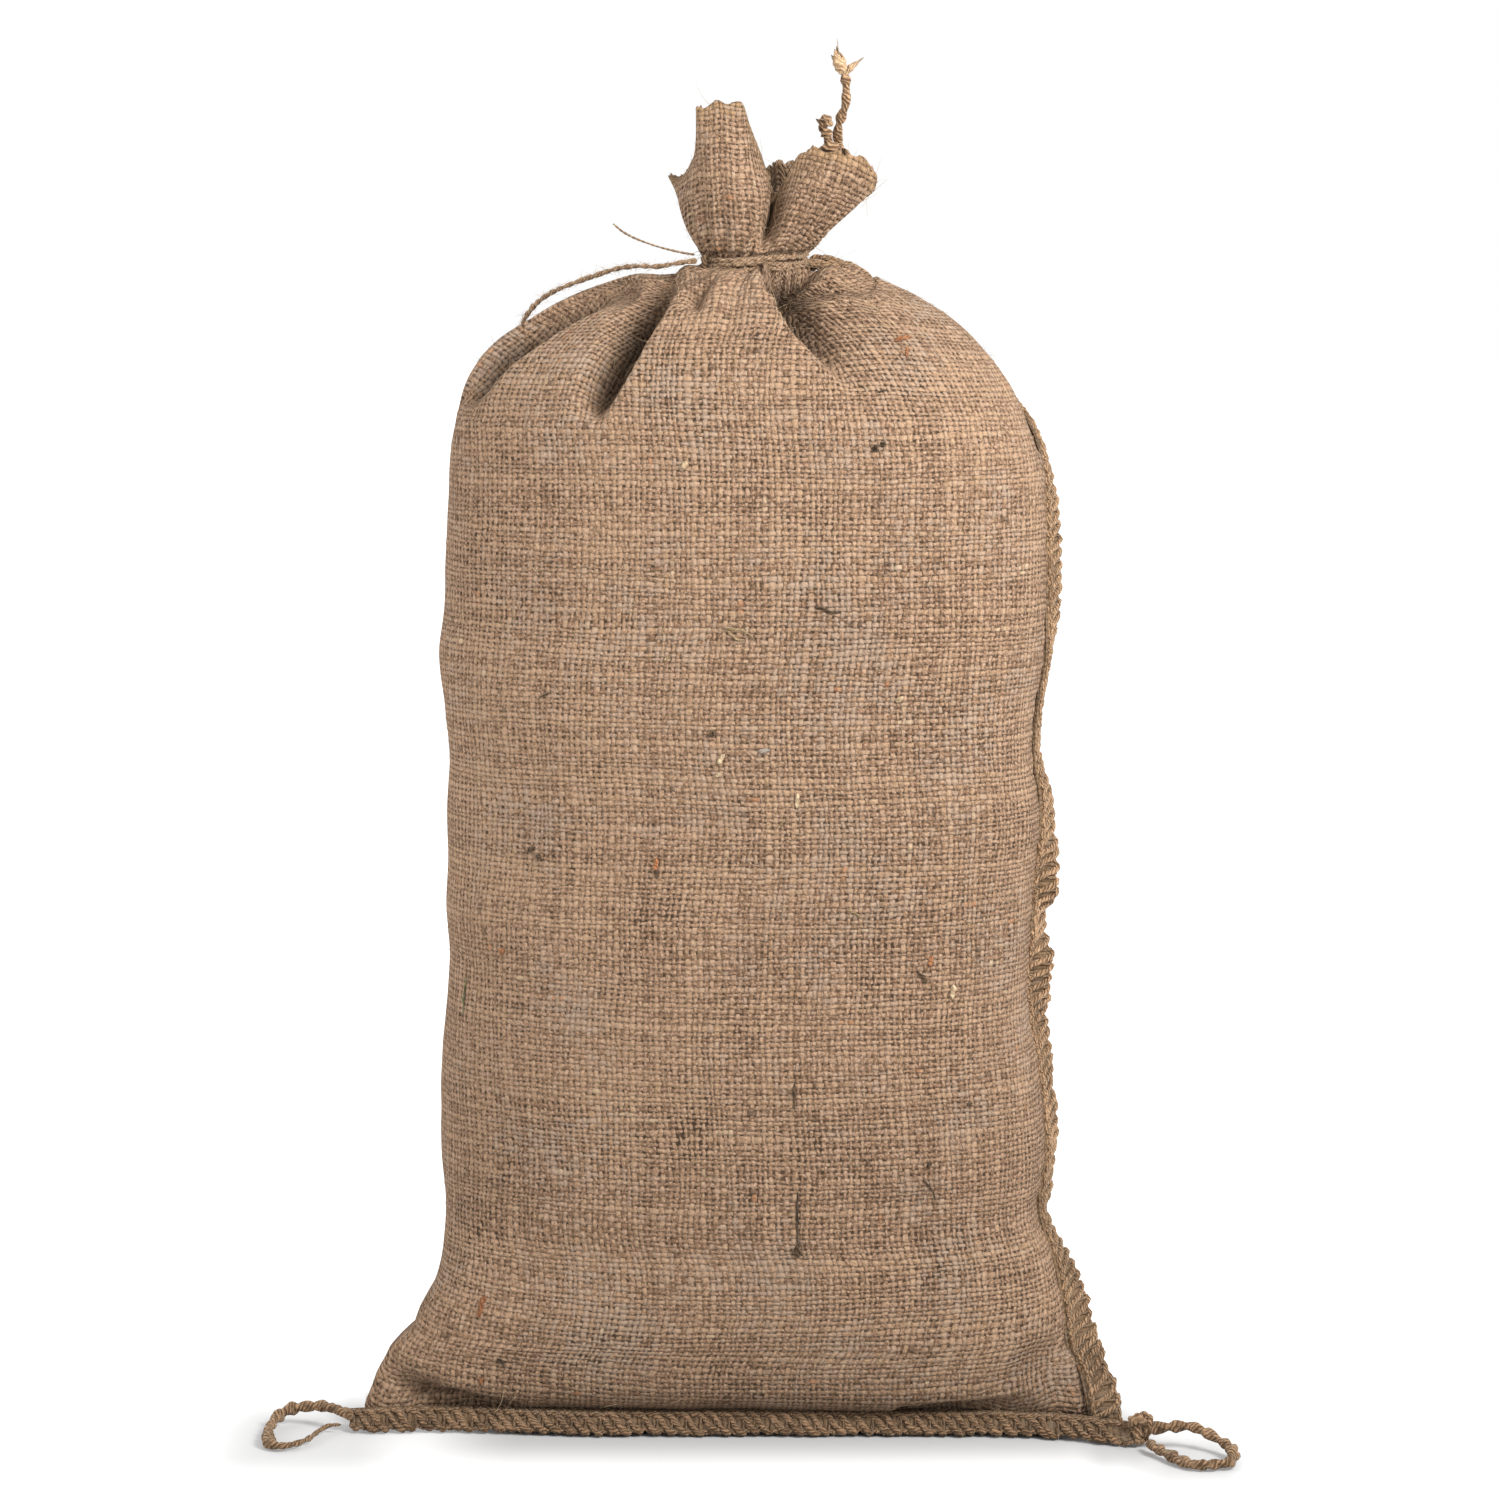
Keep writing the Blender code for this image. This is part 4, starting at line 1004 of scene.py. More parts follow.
def band_at(band, runs, turns, proud):
    """Points on a band's surface, or proud of it: run along it, and turns round it from its inner edge by its
    face to its free edge (half a turn) and back behind."""
    angle = TURN * turns
    cos, sin = np.cos(angle), np.sin(angle)
    across = 0.5 - 0.5 * np.sign(cos) * np.abs(cos) ** 0.7
    above = 0.5 * np.sign(sin) * np.abs(sin) ** 0.55
    inner, over, face = (read_along(runs, band["run"], band[part]) for part in ("inner", "over", "face"))
    width = np.interp(runs, band["run"], band["width"])
    thick = np.interp(runs, band["run"], band["thick"])
    reach = across * (width + proud) - 0.4 * proud
    return inner + over * reach[..., None] + face * (above * (thick + 2.0 * proud))[..., None]


def scalloped(band, pitch, seed):
    """The band's free edge bulges between the stitches and is drawn in under them."""
    wave = np.cos(TURN * (band["run"] / pitch - 0.5))
    rough = rough_along(band["run"], 4.0, seed, 1.5)
    band["width"] = band["width"] * (0.98 + 0.03 * wave + 0.14 * rough)
    to_end = np.minimum(band["run"], band["run"][-1] - band["run"])
    rounded = np.sqrt(np.clip(to_end / 2.5, 0.12, 1.0))
    band["thick"] = band["thick"] * (1.0 + 0.08 * wave + 0.2 * rough) * rounded
    band["width"] = band["width"] * (0.5 + 0.5 * rounded)
    return band


def make_band(name, finish, band, node):
    turns = np.arange(BAND_SIDES) / BAND_SIDES
    band = {**band, "inner": band["inner"] - band["over"] * BAND_SUNK, "width": band["width"] + BAND_SUNK}
    rings = band_at(band, band["run"][:, None] + turns * 0.0, turns + band["run"][:, None] * 0.0, 0.0)

    def texture(row, column, face_row, face_column):
        around = column / BAND_SIDES * FLAT_TEXTURE
        return np.stack([band["run"][row], around, row * 0.0, row * 0.0], axis=1) * MM

    add_piece(name, rolled(name, rings[None], texture), "burlap", finish, node)


def make_overcast(name, finish, band, stitch, seed):
    """The stitches over a band: one long thread round it, the binders that tie it, and the chain."""
    pitch, slant = stitch["pitch"], stitch["slant"]
    count = int((band["run"][-1] - slant) / pitch)
    part = np.arange(0.0, count, 1.0 / STITCH_POINTS)
    step = part % 1.0
    jitter = np.array([STITCH_JITTER * noise.noise((k * 1.7, seed, 2.5)) for k in np.floor(part)])
    on_face = np.minimum(step * 2.0, 1.0)
    behind = np.maximum(step * 2.0 - 1.0, 0.0)
    runs = (np.floor(part) + jitter * (on_face - behind)) * pitch + slant * on_face + (pitch - slant) * behind
    route = band_at(band, np.clip(runs, 0.0, band["run"][-1]), step, STITCH_PROUD)
    add_twine(
        name, route, stitch["thread"], THREAD_TWIST, seed, "seam_thread", finish, sides=THREAD_SIDES
    )

    t = np.linspace(0.0, 1.0, BINDER_POINTS)
    binders = []
    for k in range(count - 1):
        runs = k * pitch + slant * 0.92 + (pitch * 0.62 - 0.25 * slant) * t
        proud = 0.35 + 0.3 * np.sin(math.pi * t)
        route = band_at(band, np.clip(runs, 0.0, band["run"][-1]), 0.43 - 0.36 * t, proud)
        radius = np.full(len(t), stitch["binder"])
        binders.append(plied(route, radius, BINDER_SIDES, BINDER_TWIST, seed + k))
    binder_run = np.linspace(0.0, pitch, len(t))
    add_tubes(name + "_binders", np.array(binders), binder_run, "seam_thread", finish)

    runs = np.arange(0.0, band["run"][-1], CHAIN_STEP)
    sway = CHAIN_SWAY * np.sin(TURN * runs / pitch * 2.0)
    route = band_at(band, runs, CHAIN_PLACE + sway, CHAIN_PROUD)
    lumpy = 1.0 + CHAIN_LUMPS * np.cos(4.0 * math.pi * runs / pitch)
    edge = band_at(band, runs, 0.5 + 0.05 * np.sin(TURN * runs / pitch), 0.0)
    chain = plied(route, stitch["chain"] * lumpy, THREAD_SIDES, CHAIN_TWIST, seed)
    edging = plied(edge, stitch["chain"] * lumpy * EDGING_SHARE, THREAD_SIDES, CHAIN_TWIST, seed + 0.5)
    add_tubes(name + "_chains", np.array([chain, edging]), runs, "seam_thread", finish)


# The seam bands' cloth is painted at 0.6 of its brightness: painted shade between and under the stitches.
seam_cloth = burlap_finish("seam_hessian", 0.07, 0.35, 0.6)
golden_thread = thread_finish("golden_seam_thread", THREAD_GOLD, THREAD_DARK, 4)
side_band = scalloped(seam_line(), STITCH["pitch"], 3.0)
make_band("side_seam_band", seam_cloth, side_band, "side_seam")
make_overcast("side_seam_stitches", golden_thread, side_band, STITCH, 4.0)


# --------------------------------------------------------------------------------------------------
# Bottom seam. The same overcast band along the sack's bottom edge, pushed to the front and lying on the floor
# under the belly, from one dog ear to the other. Its thread is heavier, and slants down to the right. Its
# thread's colours are darker: painted shade from the belly above it.

BOTTOM_LINE = (
    (-157, -57.2, 6.2), (-140, -56.4, 6.6), (-125, -55.6, 6.6), (-110, -56, 6.6), (-90, -58.6, 6.6),
    (-65, -61, 6.6), (-30, -61, 6.6), (10, -61, 6.6), (50, -61, 6.6), (90, -61.5, 6.6), (112, -63.5, 6.6),
    (130, -68, 6.6), (150.6, -75.8, 6.2),
)
# The bottom seam's thread colours, darker than the side seam's: painted shade from the belly above.
THREAD_SHADED = (0.320, 0.190, 0.106, 1.0)
THREAD_SHADED_DARK = (0.075, 0.040, 0.020, 1.0)
BOTTOM_DROP = np.array((0.0, -6.0, -5.2))
BOTTOM_STITCH = {"pitch": 5.6, "slant": 9.5, "thread": 1.38, "binder": 0.55, "chain": 1.0}


def bottom_line():
    inner = np.array(BOTTOM_LINE)
    along = unit(np.gradient(inner, axis=0))
    over = np.broadcast_to(BOTTOM_DROP, inner.shape)
    face = unit(np.cross(over, along))
    width = np.full((len(inner), 1), np.linalg.norm(BOTTOM_DROP))
    return even_band(np.concatenate([inner, over, face, width, width * 0.0 + BAND_THICK], axis=1))


bottom_band = scalloped(bottom_line(), BOTTOM_STITCH["pitch"], 11.0)
shaded_thread = thread_finish("shaded_seam_thread", THREAD_SHADED, THREAD_SHADED_DARK, 4)
make_band("bottom_seam_band", seam_cloth, bottom_band, "bottom_seam")
make_overcast("bottom_seam_stitches", shaded_thread, bottom_band, BOTTOM_STITCH, 12.0)


# --------------------------------------------------------------------------------------------------
# Neck tie. Almost three uneven turns of thin two-ply jute twine, pulled deep into the gathered neck, over the
# side seam, and caught by a small hitch at the left front, where both ends leave.

TIE_HEIGHT, TIE_CLEAR, TIE_RADIUS, TIE_PITCH = 454.0, -1.0, 1.2, 2.0
TIE_START, TIE_SWEEP, TIE_STEP = 30.0, 1060.0, 1.2  # degrees round the neck
HITCH_FROM, HITCH_TO = 24.0, 30.0
TIE_OVER_SEAM, TIE_RISE = 3.2, 3.0
NECK_HALF = np.array((18.9, 16.4))
TWINE_TWIST = 9.0
TWINE_LIGHT = (0.370, 0.242, 0.152, 1.0)
TWINE_DARK = (0.150, 0.088, 0.048, 1.0)
# The hitch's line, out from the neck and up.
HITCH = ((0.4, -3.8), (1.8, -3.2), (2.9, -1.4), (3.1, 1), (2.2, 3), (0.5, 4))


def around_neck(degrees, out, up):
    """Points round the neck, so far out from it and so far up from the tie's middle."""
    angle = np.radians(degrees)
    over = np.clip(1.8 - np.abs((degrees - SEAM_AT_NECK - 7.0 + 180.0) % 360.0 - 180.0) / 20.0, 0.0, 1.0)
    away = np.stack([-np.cos(angle), -np.sin(angle)], axis=-1)
    reach = TIE_CLEAR + TIE_OVER_SEAM * over + out
    flat = np.array(NECK_MIDDLE) + away * NECK_HALF + away * reach[..., None]
    return np.concatenate([flat, (TIE_HEIGHT + TIE_RISE * over + up)[..., None]], axis=-1)


twine = thread_finish("jute_twine", TWINE_LIGHT, TWINE_DARK, 4)


def make_tie():
    degrees = TIE_START + np.arange(0.0, TIE_SWEEP, TIE_STEP)
    turn = (degrees - TIE_START) / 360.0
    slack = rough_along(degrees, 55.0, 3.3, 8.8)
    turns = around_neck(degrees, TIE_RADIUS + 0.5 * slack, (turn - 1.5) * TIE_PITCH + 1.1 * slack)
    add_twine("neck_tie_turns", turns, TIE_RADIUS, TWINE_TWIST, 21.0, "tie_twine", twine, "neck_tie")
    table = np.array(HITCH)
    hitch = around_neck(np.linspace(HITCH_FROM, HITCH_TO, len(table)), table[:, 0], table[:, 1])
    route = smooth(run_along(hitch), hitch, np.linspace(0.0, run_along(hitch)[-1], 30))
    add_twine("neck_tie_hitch", route, TIE_RADIUS * 0.95, TWINE_TWIST, 22.0, "tie_twine", twine)
    return turns


tie_turns = make_tie()


# --------------------------------------------------------------------------------------------------
# Free ends. The tie's two ends, the seam thread's loops at the bottom corners, and the upright tail at the
# mouth, each a cord of its real length along the route that the model gives it.

TIE_END_LONG = (
    (-20.5, -12, 454.8), (-27.2, -12.5, 454), (-35.7, -12.5, 452.6), (-43.9, -9.5, 452.6),
    (-51.5, -5, 451.6), (-61.4, 0, 448.4), (-69.8, 4.5, 445.4), (-77.9, 9.5, 441.8), (-84.5, 15, 437.2),
    (-89.5, 21.5, 430.8), (-91.5, 28.5, 424.4), (-90, 35, 419.5),
)
TIE_END_THIN = (
    (-21.5, -9.5, 457), (-27, -11, 458), (-35, -12, 460), (-43.1, -12, 462.8), (-48.8, -12, 465.6),
    (-53.1, -12, 469),
)
CORNER_LOOP_LEFT = (
    (-155.5, -61.5, 6.5), (-161.4, -57.5, 7.4), (-167.1, -53.5, 7.8), (-173.1, -51.3, 7.2),
    (-180.7, -50.2, 5.8), (-185.7, -54.1, 3.8), (-187.8, -64, 2.6), (-187.6, -74, 2.4),
    (-185.4, -83, 2.2), (-181.4, -85.6, 2), (-176.4, -83, 1.8), (-171.6, -76.4, 1.8), (-168.3, -66.6, 2),
    (-164.8, -61.8, 2.6), (-160.2, -62.6, 3.2),
)
CORNER_LOOP_RIGHT = (
    (154.8, -79.8, 7), (162, -82.6, 8.6), (170.7, -82.4, 8.6), (175.6, -84.2, 7.2), (180.4, -88, 5.4),
    (184.6, -93.4, 3.8), (185.2, -100.6, 2.6), (182.6, -107, 2.2), (177.2, -108.8, 2.1),
    (170.9, -109.6, 2.1), (165.6, -105.6, 2.1), (160.4, -98, 2.6), (156.2, -91.2, 3.2),
    (153.4, -85.2, 3.4),
)
SEAM_TAIL = (
    (35.6, 18, 494.5), (34.8, 17.5, 499.4), (34.4, 15.5, 503), (34.8, 13.5, 507), (36, 12, 511),
    (37.4, 10, 515), (37.6, 9.5, 519.5), (37.4, 9, 524), (36.6, 8.5, 527.5),
)
FRAYED = ("toward", "length", "width")  # the plies that come apart at the tail's end
FRAYED_ENDS = (
    ((-2.4, -0.5, 6.6), 11.0, 1.70),
    ((-3.9, 0.6, 6.2), 9.6, 1.35),
    ((-1.0, 0.4, 6.8), 9.2, 1.45),
    ((-1.9, 0.2, 7.0), 12.0, 0.95),
    ((-2.2, -0.2, 13.0), 14.5, 0.35),
    ((4.9, 0.3, 5.2), 9.4, 1.35),
    ((5.4, 0.6, 5.2), 10.4, 0.75),
)
KNOT_CENTRE, KNOT_SCALE, KNOT_STRAND = np.array((151.8, -78.5, 6.8)), 1.8, 1.9
STUB_LINE = (
    (31.8, 16, 494), (31, 13.5, 499), (30.2, 12.6, 503), (28.6, 12.4, 506), (29.4, 12.5, 509),
    (28.8, 12.4, 511),
)
LOOP_TAPER = ((0.0, 1.0), (0.62, 1.0), (0.72, 0.5), (1.0, 0.42))  # share along, and share of full thickness
FULLNESS = 1.32  # loose fibres make a twine fuller than its measured diameter
PLAIN_TAPER = ((0.0, 1.0), (0.9, 0.9), (1.0, 0.7))
LIMP_TAPER = ((0.0, 0.72), (0.3, 0.62), (0.8, 0.58), (1.0, 0.45))
FRAYED_LIGHT = (0.560, 0.390, 0.235, 1.0)
FRAYED_DARK = (0.300, 0.185, 0.100, 1.0)
KNOT_SQUASH = (0.70, 0.9, 1.15)
STUB_RADIUS, STUB_LUMPS = 2.1, 0.6


def even_route(points, step):
    route = np.array(points, float)
    along = run_along(route)
    for _ in range(2):
        fine = smooth(along, route, np.linspace(0.0, along[-1], int(along[-1] / step) + 1))
        along, route = run_along(fine), fine
    return route


def make_cord(name, node, slot, finish, points, diameter, twist, far_end, stiffness, taper, with_pieces=()):
    route = even_route(points, min(0.5, diameter * 0.3))
    along = run_along(route)
    share, thickness = np.array(taper).T
    radius = FULLNESS * diameter / 2.0 * np.interp(along / along[-1], share, thickness)
    made = add_twine(name, route, radius, twist, float(len(points)), slot, finish, node, lumps=0.14)
    route[0] * MM
    diameter * MM
    route * MM
    return route


def make_knot():
    t = np.linspace(0.0, TURN, 120)
    trefoil = [np.sin(t) + 2 * np.sin(2 * t), -np.sin(3 * t) * 1.3, np.cos(t) - 2 * np.cos(2 * t)]
    route = KNOT_CENTRE + np.stack(trefoil, axis=1) * KNOT_SCALE * KNOT_SQUASH
    route[:, 2] = np.maximum(route[:, 2], KNOT_STRAND + 0.2)
    return add_twine(
        "corner_knot", route, KNOT_STRAND, 7.0, 31.0, *thread, "corner_knot_right", lumps=0.15
    )


def make_stub():
    route = even_route(STUB_LINE, 0.4)
    lumpy = STUB_RADIUS + STUB_LUMPS * np.cos(run_along(route) * 1.2)
    return add_twine("seam_tail_tuft", route, lumpy, 5.0, 33.0, *thread, "seam_tail_stub", lumps=0.3)


def make_frayed(start):
    """The tail's plies, untwisted into loose tufts at its end."""
    tubes = []
    t = np.linspace(0.0, 1.0, 16)[:, None]
    for k, end in enumerate(named(FRAYED, FRAYED_ENDS)):
        aim = unit(np.array(end["toward"])) * end["length"]
        wave = np.array([noise.noise((k * 3.1, place * 2.2, 4.0)) for place in t[:, 0]])[:, None]
        line = start + aim * t + np.array((wave[:, 0] * 1.6, wave[:, 0] * 0.6, t[:, 0] * 0.0)).T * t
        swell = 0.8 + 0.5 * np.sin(math.pi * np.minimum(1.0, t[:, 0] * 1.3))
        width = end["width"] * swell * (1.0 - 0.75 * t[:, 0] ** 3)
        tubes.append(plied(line, width, THREAD_SIDES, 5.0, 40.0 + k, lumps=0.2))
    return add_tubes("frayed_tail", np.array(tubes), t[:, 0] * 7.0, "seam_thread", frayed_jute)


frayed_jute = thread_finish("frayed_jute", FRAYED_LIGHT, FRAYED_DARK, 6)
thread, tie = ("seam_thread", golden_thread), ("tie_twine", twine)
knot = make_knot()
stub = make_stub()
frayed = make_frayed(even_route(SEAM_TAIL, 0.5)[-1] - [0.0, 0.0, 1.5])
long_end = make_cord(
    "long_end", "tie_end_long", *tie, TIE_END_LONG, 2.4, TWINE_TWIST, "bare", "limp", LIMP_TAPER
)
make_cord("thin_end", "tie_end_thin", *tie, TIE_END_THIN, 1.1, 4.0, "bare", "limp", LIMP_TAPER)
make_cord("left_loop", "corner_loop_left", *thread, CORNER_LOOP_LEFT, 3.4, 13.0, "bare", "limp", LOOP_TAPER)
make_cord(
    "right_loop", "corner_loop_right", *thread, CORNER_LOOP_RIGHT, 3.6, 14.0, "object", "limp", PLAIN_TAPER,
    [knot],
)
make_cord(
    "upright_tail", "seam_tail", *thread, SEAM_TAIL, 3.2, 15.0, "bare", "stiff", PLAIN_TAPER, [stub, frayed]
)


# --------------------------------------------------------------------------------------------------
# Flecks. Bits of bark, slubs and stray straws that came into the yarn with the jute: short, soft lumps of
# fibre lying on the cloth, dark, rusty, bleached, grey or green.

FLECK = ("x", "height", "length", "tilt", "bend", "width", "finish")
FLECKS = (
    (48, 385, 3.4, 50, 0.1, 2.4, "bark"), (50, 386, 2.6, -40, 0.1, 1.6, "bark"),
    (51, 406, 5, 8, 0.1, 0.7, "bark"), (59, 425, 8, 10, 0.2, 1.3, "rust"),
    (60, 420, 5, 70, 0.1, 1.1, "rust"), (-4, 316, 13, -24, 0.5, 0.8, "straw"),
    (-6, 314.5, 9, -30, -0.5, 0.75, "straw"), (30, 323, 10, -12, -0.3, 1.1, "bark"),
    (-15, 276, 2.4, 70, 0, 1.5, "bark"), (-79, 290, 4, 20, 0.2, 0.9, "bark"),
    (-36, 226, 5.5, 84, 0.1, 1.9, "rust"), (-36.5, 223.5, 3.4, 88, 0.1, 1.5, "bark"),
    (-85, 230, 4, 30, 0.2, 1.3, "bark"), (-81, 226, 4, -40, 0.2, 1.2, "bark"),
    (-97, 188, 4, 50, 0.2, 1.2, "rust"), (-112, 169, 18, 88, 0.05, 0.8, "green"),
    (70, 187, 4.6, 75, 0.1, 1.9, "rust"), (67, 181, 6, -55, 0.2, 1.2, "bark"),
    (78, 175, 6, 80, 0.1, 1.9, "bleached"), (17, 136, 11, 89, 0.05, 0.9, "bark"),
    (19, 88, 22, 90, 0.02, 0.8, "bark"), (19, 75, 6, 80, 0.5, 2.2, "bark"),
    (69, 97, 10, -60, 0.3, 0.5, "bark"), (69, 106, 2.6, 40, 0.1, 1.1, "bark"),
    (85, 131, 2.6, 0, 0.1, 1.1, "bark"), (-105, 48, 9, 84, 0.1, 2.3, "rust"),
    (-104, 52, 4, 60, 0.1, 1.1, "rust"), (-105, 22, 4, 80, 0.1, 1.2, "rust"),
    (-98, 28, 4.5, -50, 0.2, 0.9, "bark"), (-10, 267, 5, 60, 0.2, 2, "bleached"),
    (-12, 262, 3, 20, 0.2, 1.6, "bleached"), (18, 252, 6, 85, 0.1, 1.6, "bleached"),
    (58, 288, 4, 30, 0.2, 1.7, "bleached"), (-25, 379, 3.6, 70, 0.1, 1.5, "bleached"),
    (5, 272, 5, 5, 0.1, 1.6, "grey"), (-31, 305, 3.6, 45, 0.2, 0.7, "straw"),
    (12, 243, 7, 35, 0.4, 0.5, "straw"), (-58, 352, 5, -20, 0.3, 0.5, "straw"),
    (40, 207, 7, -35, 0.4, 0.5, "straw"),
)
FLECK_FINISHES = {
    "bark": ((0.085, 0.048, 0.024, 1.0), (0.018, 0.011, 0.007, 1.0)),
    "rust": ((0.330, 0.135, 0.056, 1.0), (0.160, 0.062, 0.028, 1.0)),
    "straw": ((0.400, 0.290, 0.160, 1.0), (0.180, 0.115, 0.055, 1.0)),
    "bleached": ((0.500, 0.390, 0.250, 1.0), (0.360, 0.250, 0.150, 1.0)),
    "green": ((0.130, 0.125, 0.060, 1.0), (0.060, 0.055, 0.025, 1.0)),
    "grey": ((0.330, 0.290, 0.250, 1.0), (0.200, 0.160, 0.130, 1.0)),
}
FLECK_RINGS = 14
FLECK_LIFT = 0.25  # how far a fleck lies above the cloth, and waves over it
FLECK_FULLNESS = 0.72
sack_normals = outward(sack_outside)


def front_of_sack(x, height):
    """The point of the sack's front nearest to a place, and its normal."""
    flat = sack_outside[..., [0, 2]] - [x, height]
    far = np.where(sack_outside[..., 1] < 0.0, 0.0, 1e6)
    at = np.unravel_index(np.argmin((flat**2).sum(axis=-1) + far), far.shape)
    return sack_outside[at], sack_normals[at]


def make_flecks():
    t = np.linspace(-0.5, 0.5, FLECK_RINGS)
    for finish, (light, dark) in FLECK_FINISHES.items():
        tubes = []
        for k, fleck in enumerate(named(FLECK, FLECKS)):
            if fleck["finish"] != finish:
                continue
            point, normal = front_of_sack(fleck["x"], fleck["height"])
            right = unit(np.cross((0.0, 0.0, 1.0), normal))
            up = np.cross(normal, right)
            tilt = math.radians(fleck["tilt"])
            aim = right * math.cos(tilt) + up * math.sin(tilt)
            square = up * math.cos(tilt) - right * math.sin(tilt)
            bow = fleck["bend"] * fleck["length"] * (0.25 - t**2) * (1.0 + 1.5 * t)
            line = point + normal * FLECK_LIFT + t[:, None] * aim * fleck["length"] + bow[:, None] * square
            line = line + normal * (FLECK_LIFT * np.sin(9.0 * t + k))[:, None]
            full = np.sqrt(np.maximum(1.0 - (2.0 * t) ** 2, 0.06))
            radius = fleck["width"] * FLECK_FULLNESS * full
            tubes.append(plied(line, radius, THREAD_SIDES, 9.0, float(k), lumps=0.25))
        fibre = thread_finish("fleck_" + finish, light, dark, 3)
        add_tubes("flecks_" + finish, np.array(tubes), (t + 0.5) * 5.0, "burlap", fibre)


make_flecks()


# --------------------------------------------------------------------------------------------------
# Cut yarns. The ends of the upright yarns stand a little out of the mouth's cut edge, and are thick and
# knotted where the selvedge's own yarns run out at the right ear.

CUT_YARN = {"shortest": 0.1, "longest": 1.0, "radius": 0.9, "knotted": 1.5, "root": 1.6}
KNOTTED_FROM = 38.0  # the x beyond which the yarns are knotted


def make_cut_yarns():
    rim = np.concatenate([sack_outside[-1], sack_outside[-1][:1]])
    under = np.concatenate([sack_outside[-4], sack_outside[-4][:1]])
    normals = np.concatenate([sack_normals[-1], sack_normals[-1][:1]])
    run = run_along(rim)
    draw = np.random.default_rng(12)
    t = np.linspace(0.0, 1.0, 7)[:, None]
    tubes = []
    for place in np.arange(0.0, run[-1], YARN_ACROSS):
        point, low, normal = (read_along(place, run, data) for data in (rim, under, normals))
        up, lean, length = unit(point - low), draw.normal(size=3) * 0.22, draw.uniform(0.0, 1.0) ** 2.0
        knotted = point[0] > KNOTTED_FROM
        length = CUT_YARN["shortest"] + (CUT_YARN["longest"] - CUT_YARN["shortest"]) * length
        thick = CUT_YARN["knotted" if knotted else "radius"] * draw.uniform(0.7, 1.05)
        root = point - normal * MOUTH_WALL * 0.5 - up * CUT_YARN["root"]
        line = root + t * (up * (CUT_YARN["root"] + length) + lean * length)
        radius = thick * (1.0 - 0.45 * t[:, 0] ** 3)
        tubes.append(plied(line, radius, THREAD_SIDES, 4.0, place, lumps=0.25))
    finish = thread_finish("cut_jute_yarn", JUTE_LIGHT, JUTE_DARK, 3)
    add_tubes("cut_yarns", np.array(tubes), t[:, 0] * 4.0, "burlap", finish)


make_cut_yarns()


# --------------------------------------------------------------------------------------------------
# Loose fibres. Fine hairs of jute that stand off the cloth, the seams and the twine, as on any burlap.

FIBRE = ("count", "shortest", "longest", "thickness", "lift")
CLOTH_FIBRES, TWINE_FIBRES, SEAM_FIBRES = named(
    FIBRE, ((2600, 3.0, 13.0, 0.085, 0.16), (420, 1.5, 5.5, 0.07, 0.28), (520, 1.5, 5.5, 0.07, 0.40))
)
FIBRE_RINGS = 6
FIBRE_DROOP = 0.3
FIBRE_SIDES = (0.0, 2.0944, 4.1888)  # the angles of a fibre's three edges
HIDDEN_ROWS = 4  # the lowest rows of the cloth, which lie on the floor
FIBRE_LIGHT = (0.480, 0.350, 0.215, 1.0)
FIBRE_DARK = (0.200, 0.120, 0.065, 1.0)


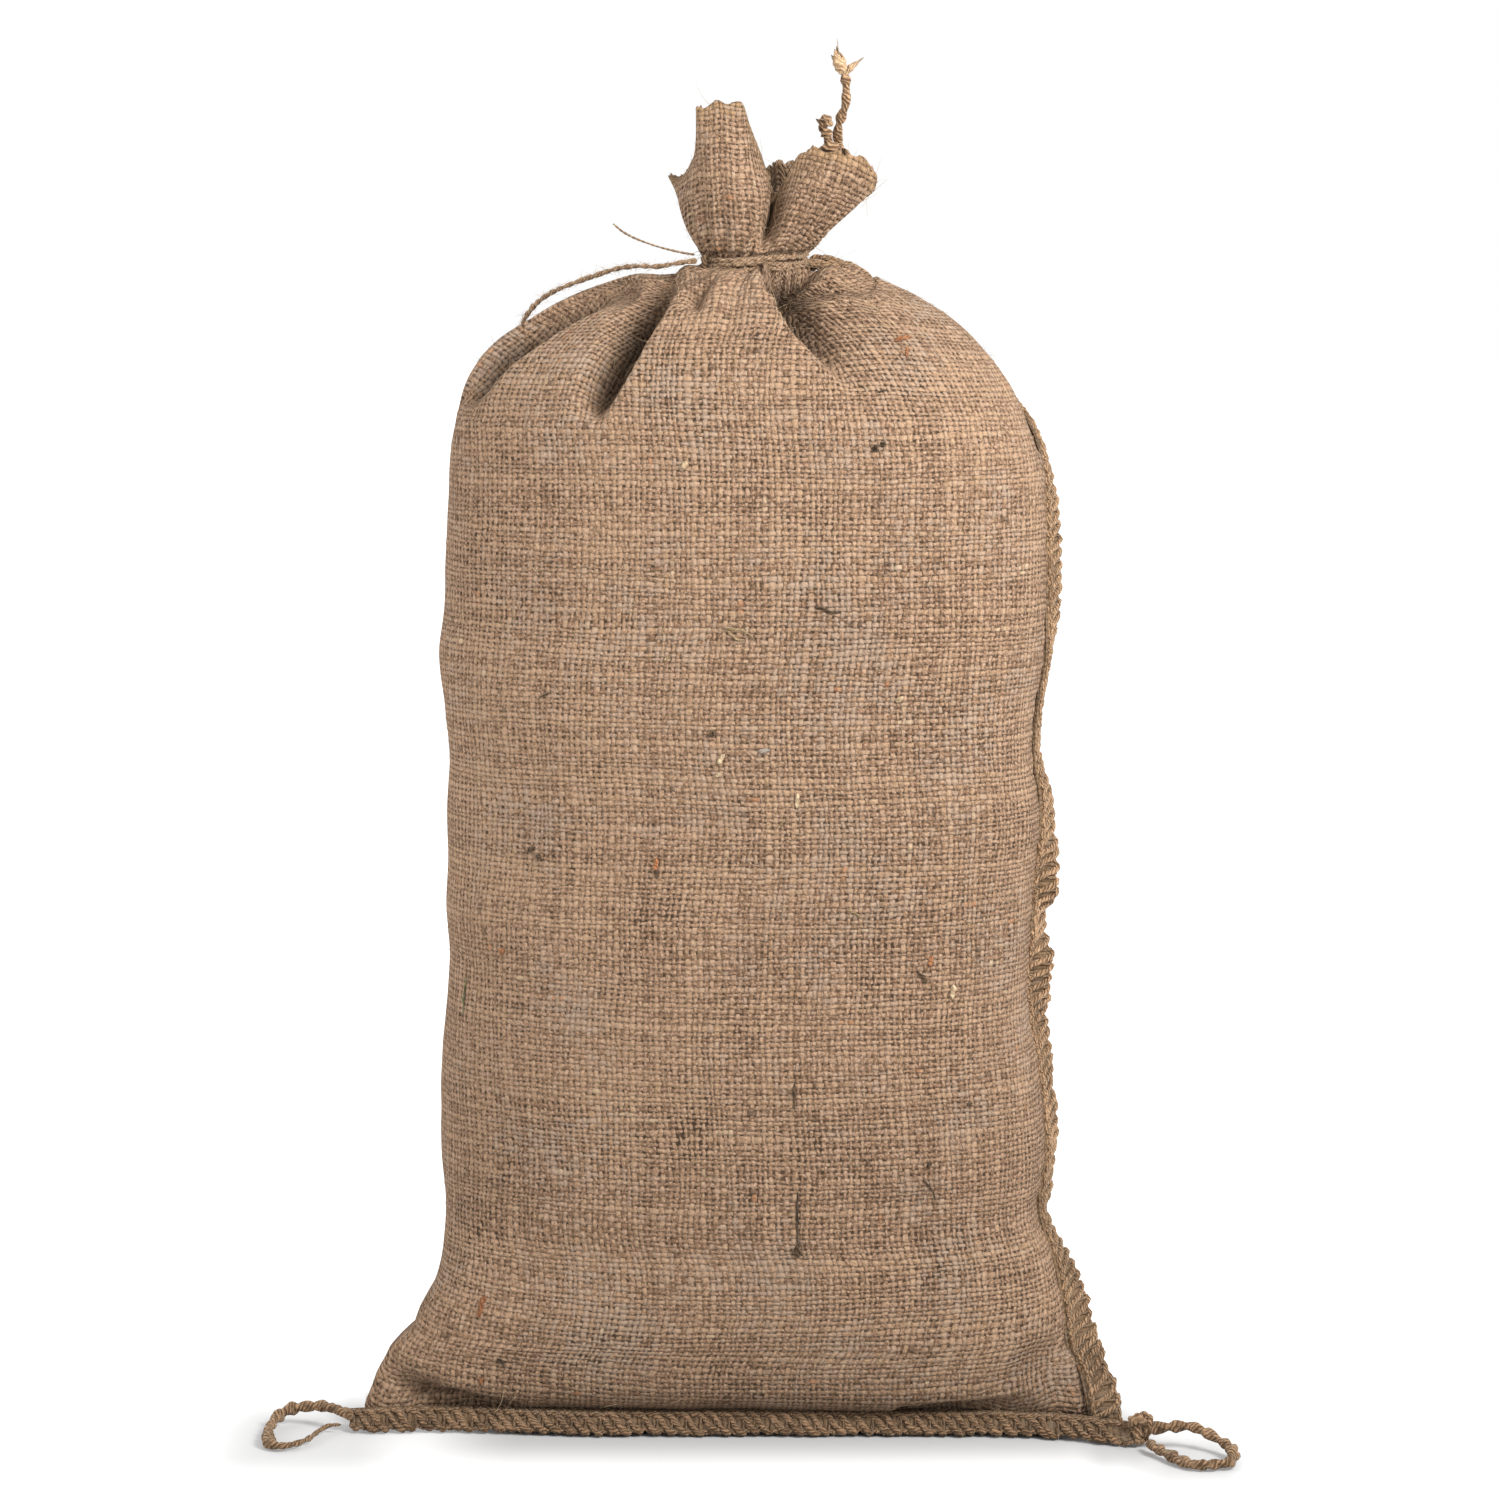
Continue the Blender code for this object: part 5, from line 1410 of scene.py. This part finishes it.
def make_fibres(name, slot, finish, roots, normals, hairs, seed):
    """Thin, curved, tapered hairs, rooted just over a surface at some of its points."""
    count = hairs["count"]
    draw = np.random.default_rng(seed)
    chosen = draw.choice(len(roots), count)
    normal = normals[chosen]
    flat = unit(np.cross(normal, draw.normal(size=(count, 3))))
    bend = unit(np.cross(normal, flat)) * draw.uniform(-0.7, 0.7, (count, 1))
    lift = np.abs(draw.normal(size=(count, 1))) * hairs["lift"]
    aim = unit(flat + normal * lift)
    length = draw.uniform(hairs["shortest"], hairs["longest"], (count, 1))
    length = length * draw.uniform(0.4, 1.0, (count, 1))
    t = np.linspace(0.0, 1.0, FIBRE_RINGS)[:, None, None]
    line = roots[chosen] + normal * 0.05 + aim * length * t + bend * length * t**2
    line = line - normal * lift * length * FIBRE_DROOP * t**2
    thick = hairs["thickness"] * draw.uniform(0.6, 1.3, (count, 1)) * (1.0 - 0.7 * t)
    side, other = unit(np.cross(aim, normal)), unit(np.cross(aim, np.cross(aim, normal)))
    corners = [(math.cos(a), math.sin(a)) for a in FIBRE_SIDES]
    rings = np.stack([line + (side * cos + other * sin) * thick for cos, sin in corners], axis=2)
    rings[..., 2] = np.maximum(rings[..., 2], 0.1)
    tubes = rings.transpose(1, 0, 2, 3)

    def texture(row, column, face_row, face_column):
        hair = row // FIBRE_RINGS
        return np.stack([column / 3.0, row % FIBRE_RINGS * MM, hair * 0.618 % 1.0, row * 0.0], axis=1)

    add_piece(name, rolled(name, tubes, texture), slot, finish)


def fibre_finish(name, light, dark):
    """Single jute fibres, each of its own tone."""
    made, shader, start = finish_of(name, {"Roughness": 0.7})
    marks = start.node("ShaderNodeUVMap", {}, uv_map="marks")
    along = noise_at(place_of(start), 400.0, 2.0) - 0.5
    connect(mixed(ramp(marks.part(0) + along * 0.6, 0.0, 1.0), dark, light), shader, "Base Color")
    return made


loose_fibre = fibre_finish("loose_jute_fibre", FIBRE_LIGHT, FIBRE_DARK)
cloth_points, cloth_normals = (rows[HIDDEN_ROWS:].reshape(-1, 3) for rows in (sack_outside, sack_normals))
make_fibres("cloth_fibres", "burlap", loose_fibre, cloth_points, cloth_normals, CLOTH_FIBRES, 5)
for name, route, reach, seed in (
    ("tie_fibres", tie_turns, TIE_RADIUS, 6),
    ("long_end_fibres", long_end, 1.2, 7),
):
    one, other = carried(route)
    spin = np.arange(len(route))[:, None] * 2.4
    away = one * np.cos(spin) + other * np.sin(spin)
    make_fibres(name, "tie_twine", loose_fibre, route + away * reach * 0.8, away, TWINE_FIBRES, seed)
for name, band, seed in (("side_seam_fibres", side_band, 8), ("bottom_seam_fibres", bottom_band, 9)):
    spots = np.arange(0.0, band["run"][-1], 0.2)
    turns = 0.12 + 0.36 * (spots * 1.618 % 1.0)
    roots = band_at(band, spots, turns, 0.4)
    face = unit(read_along(spots, band["run"], band["face"]))
    make_fibres(name, "seam_thread", loose_fibre, roots, face, SEAM_FIBRES, seed)
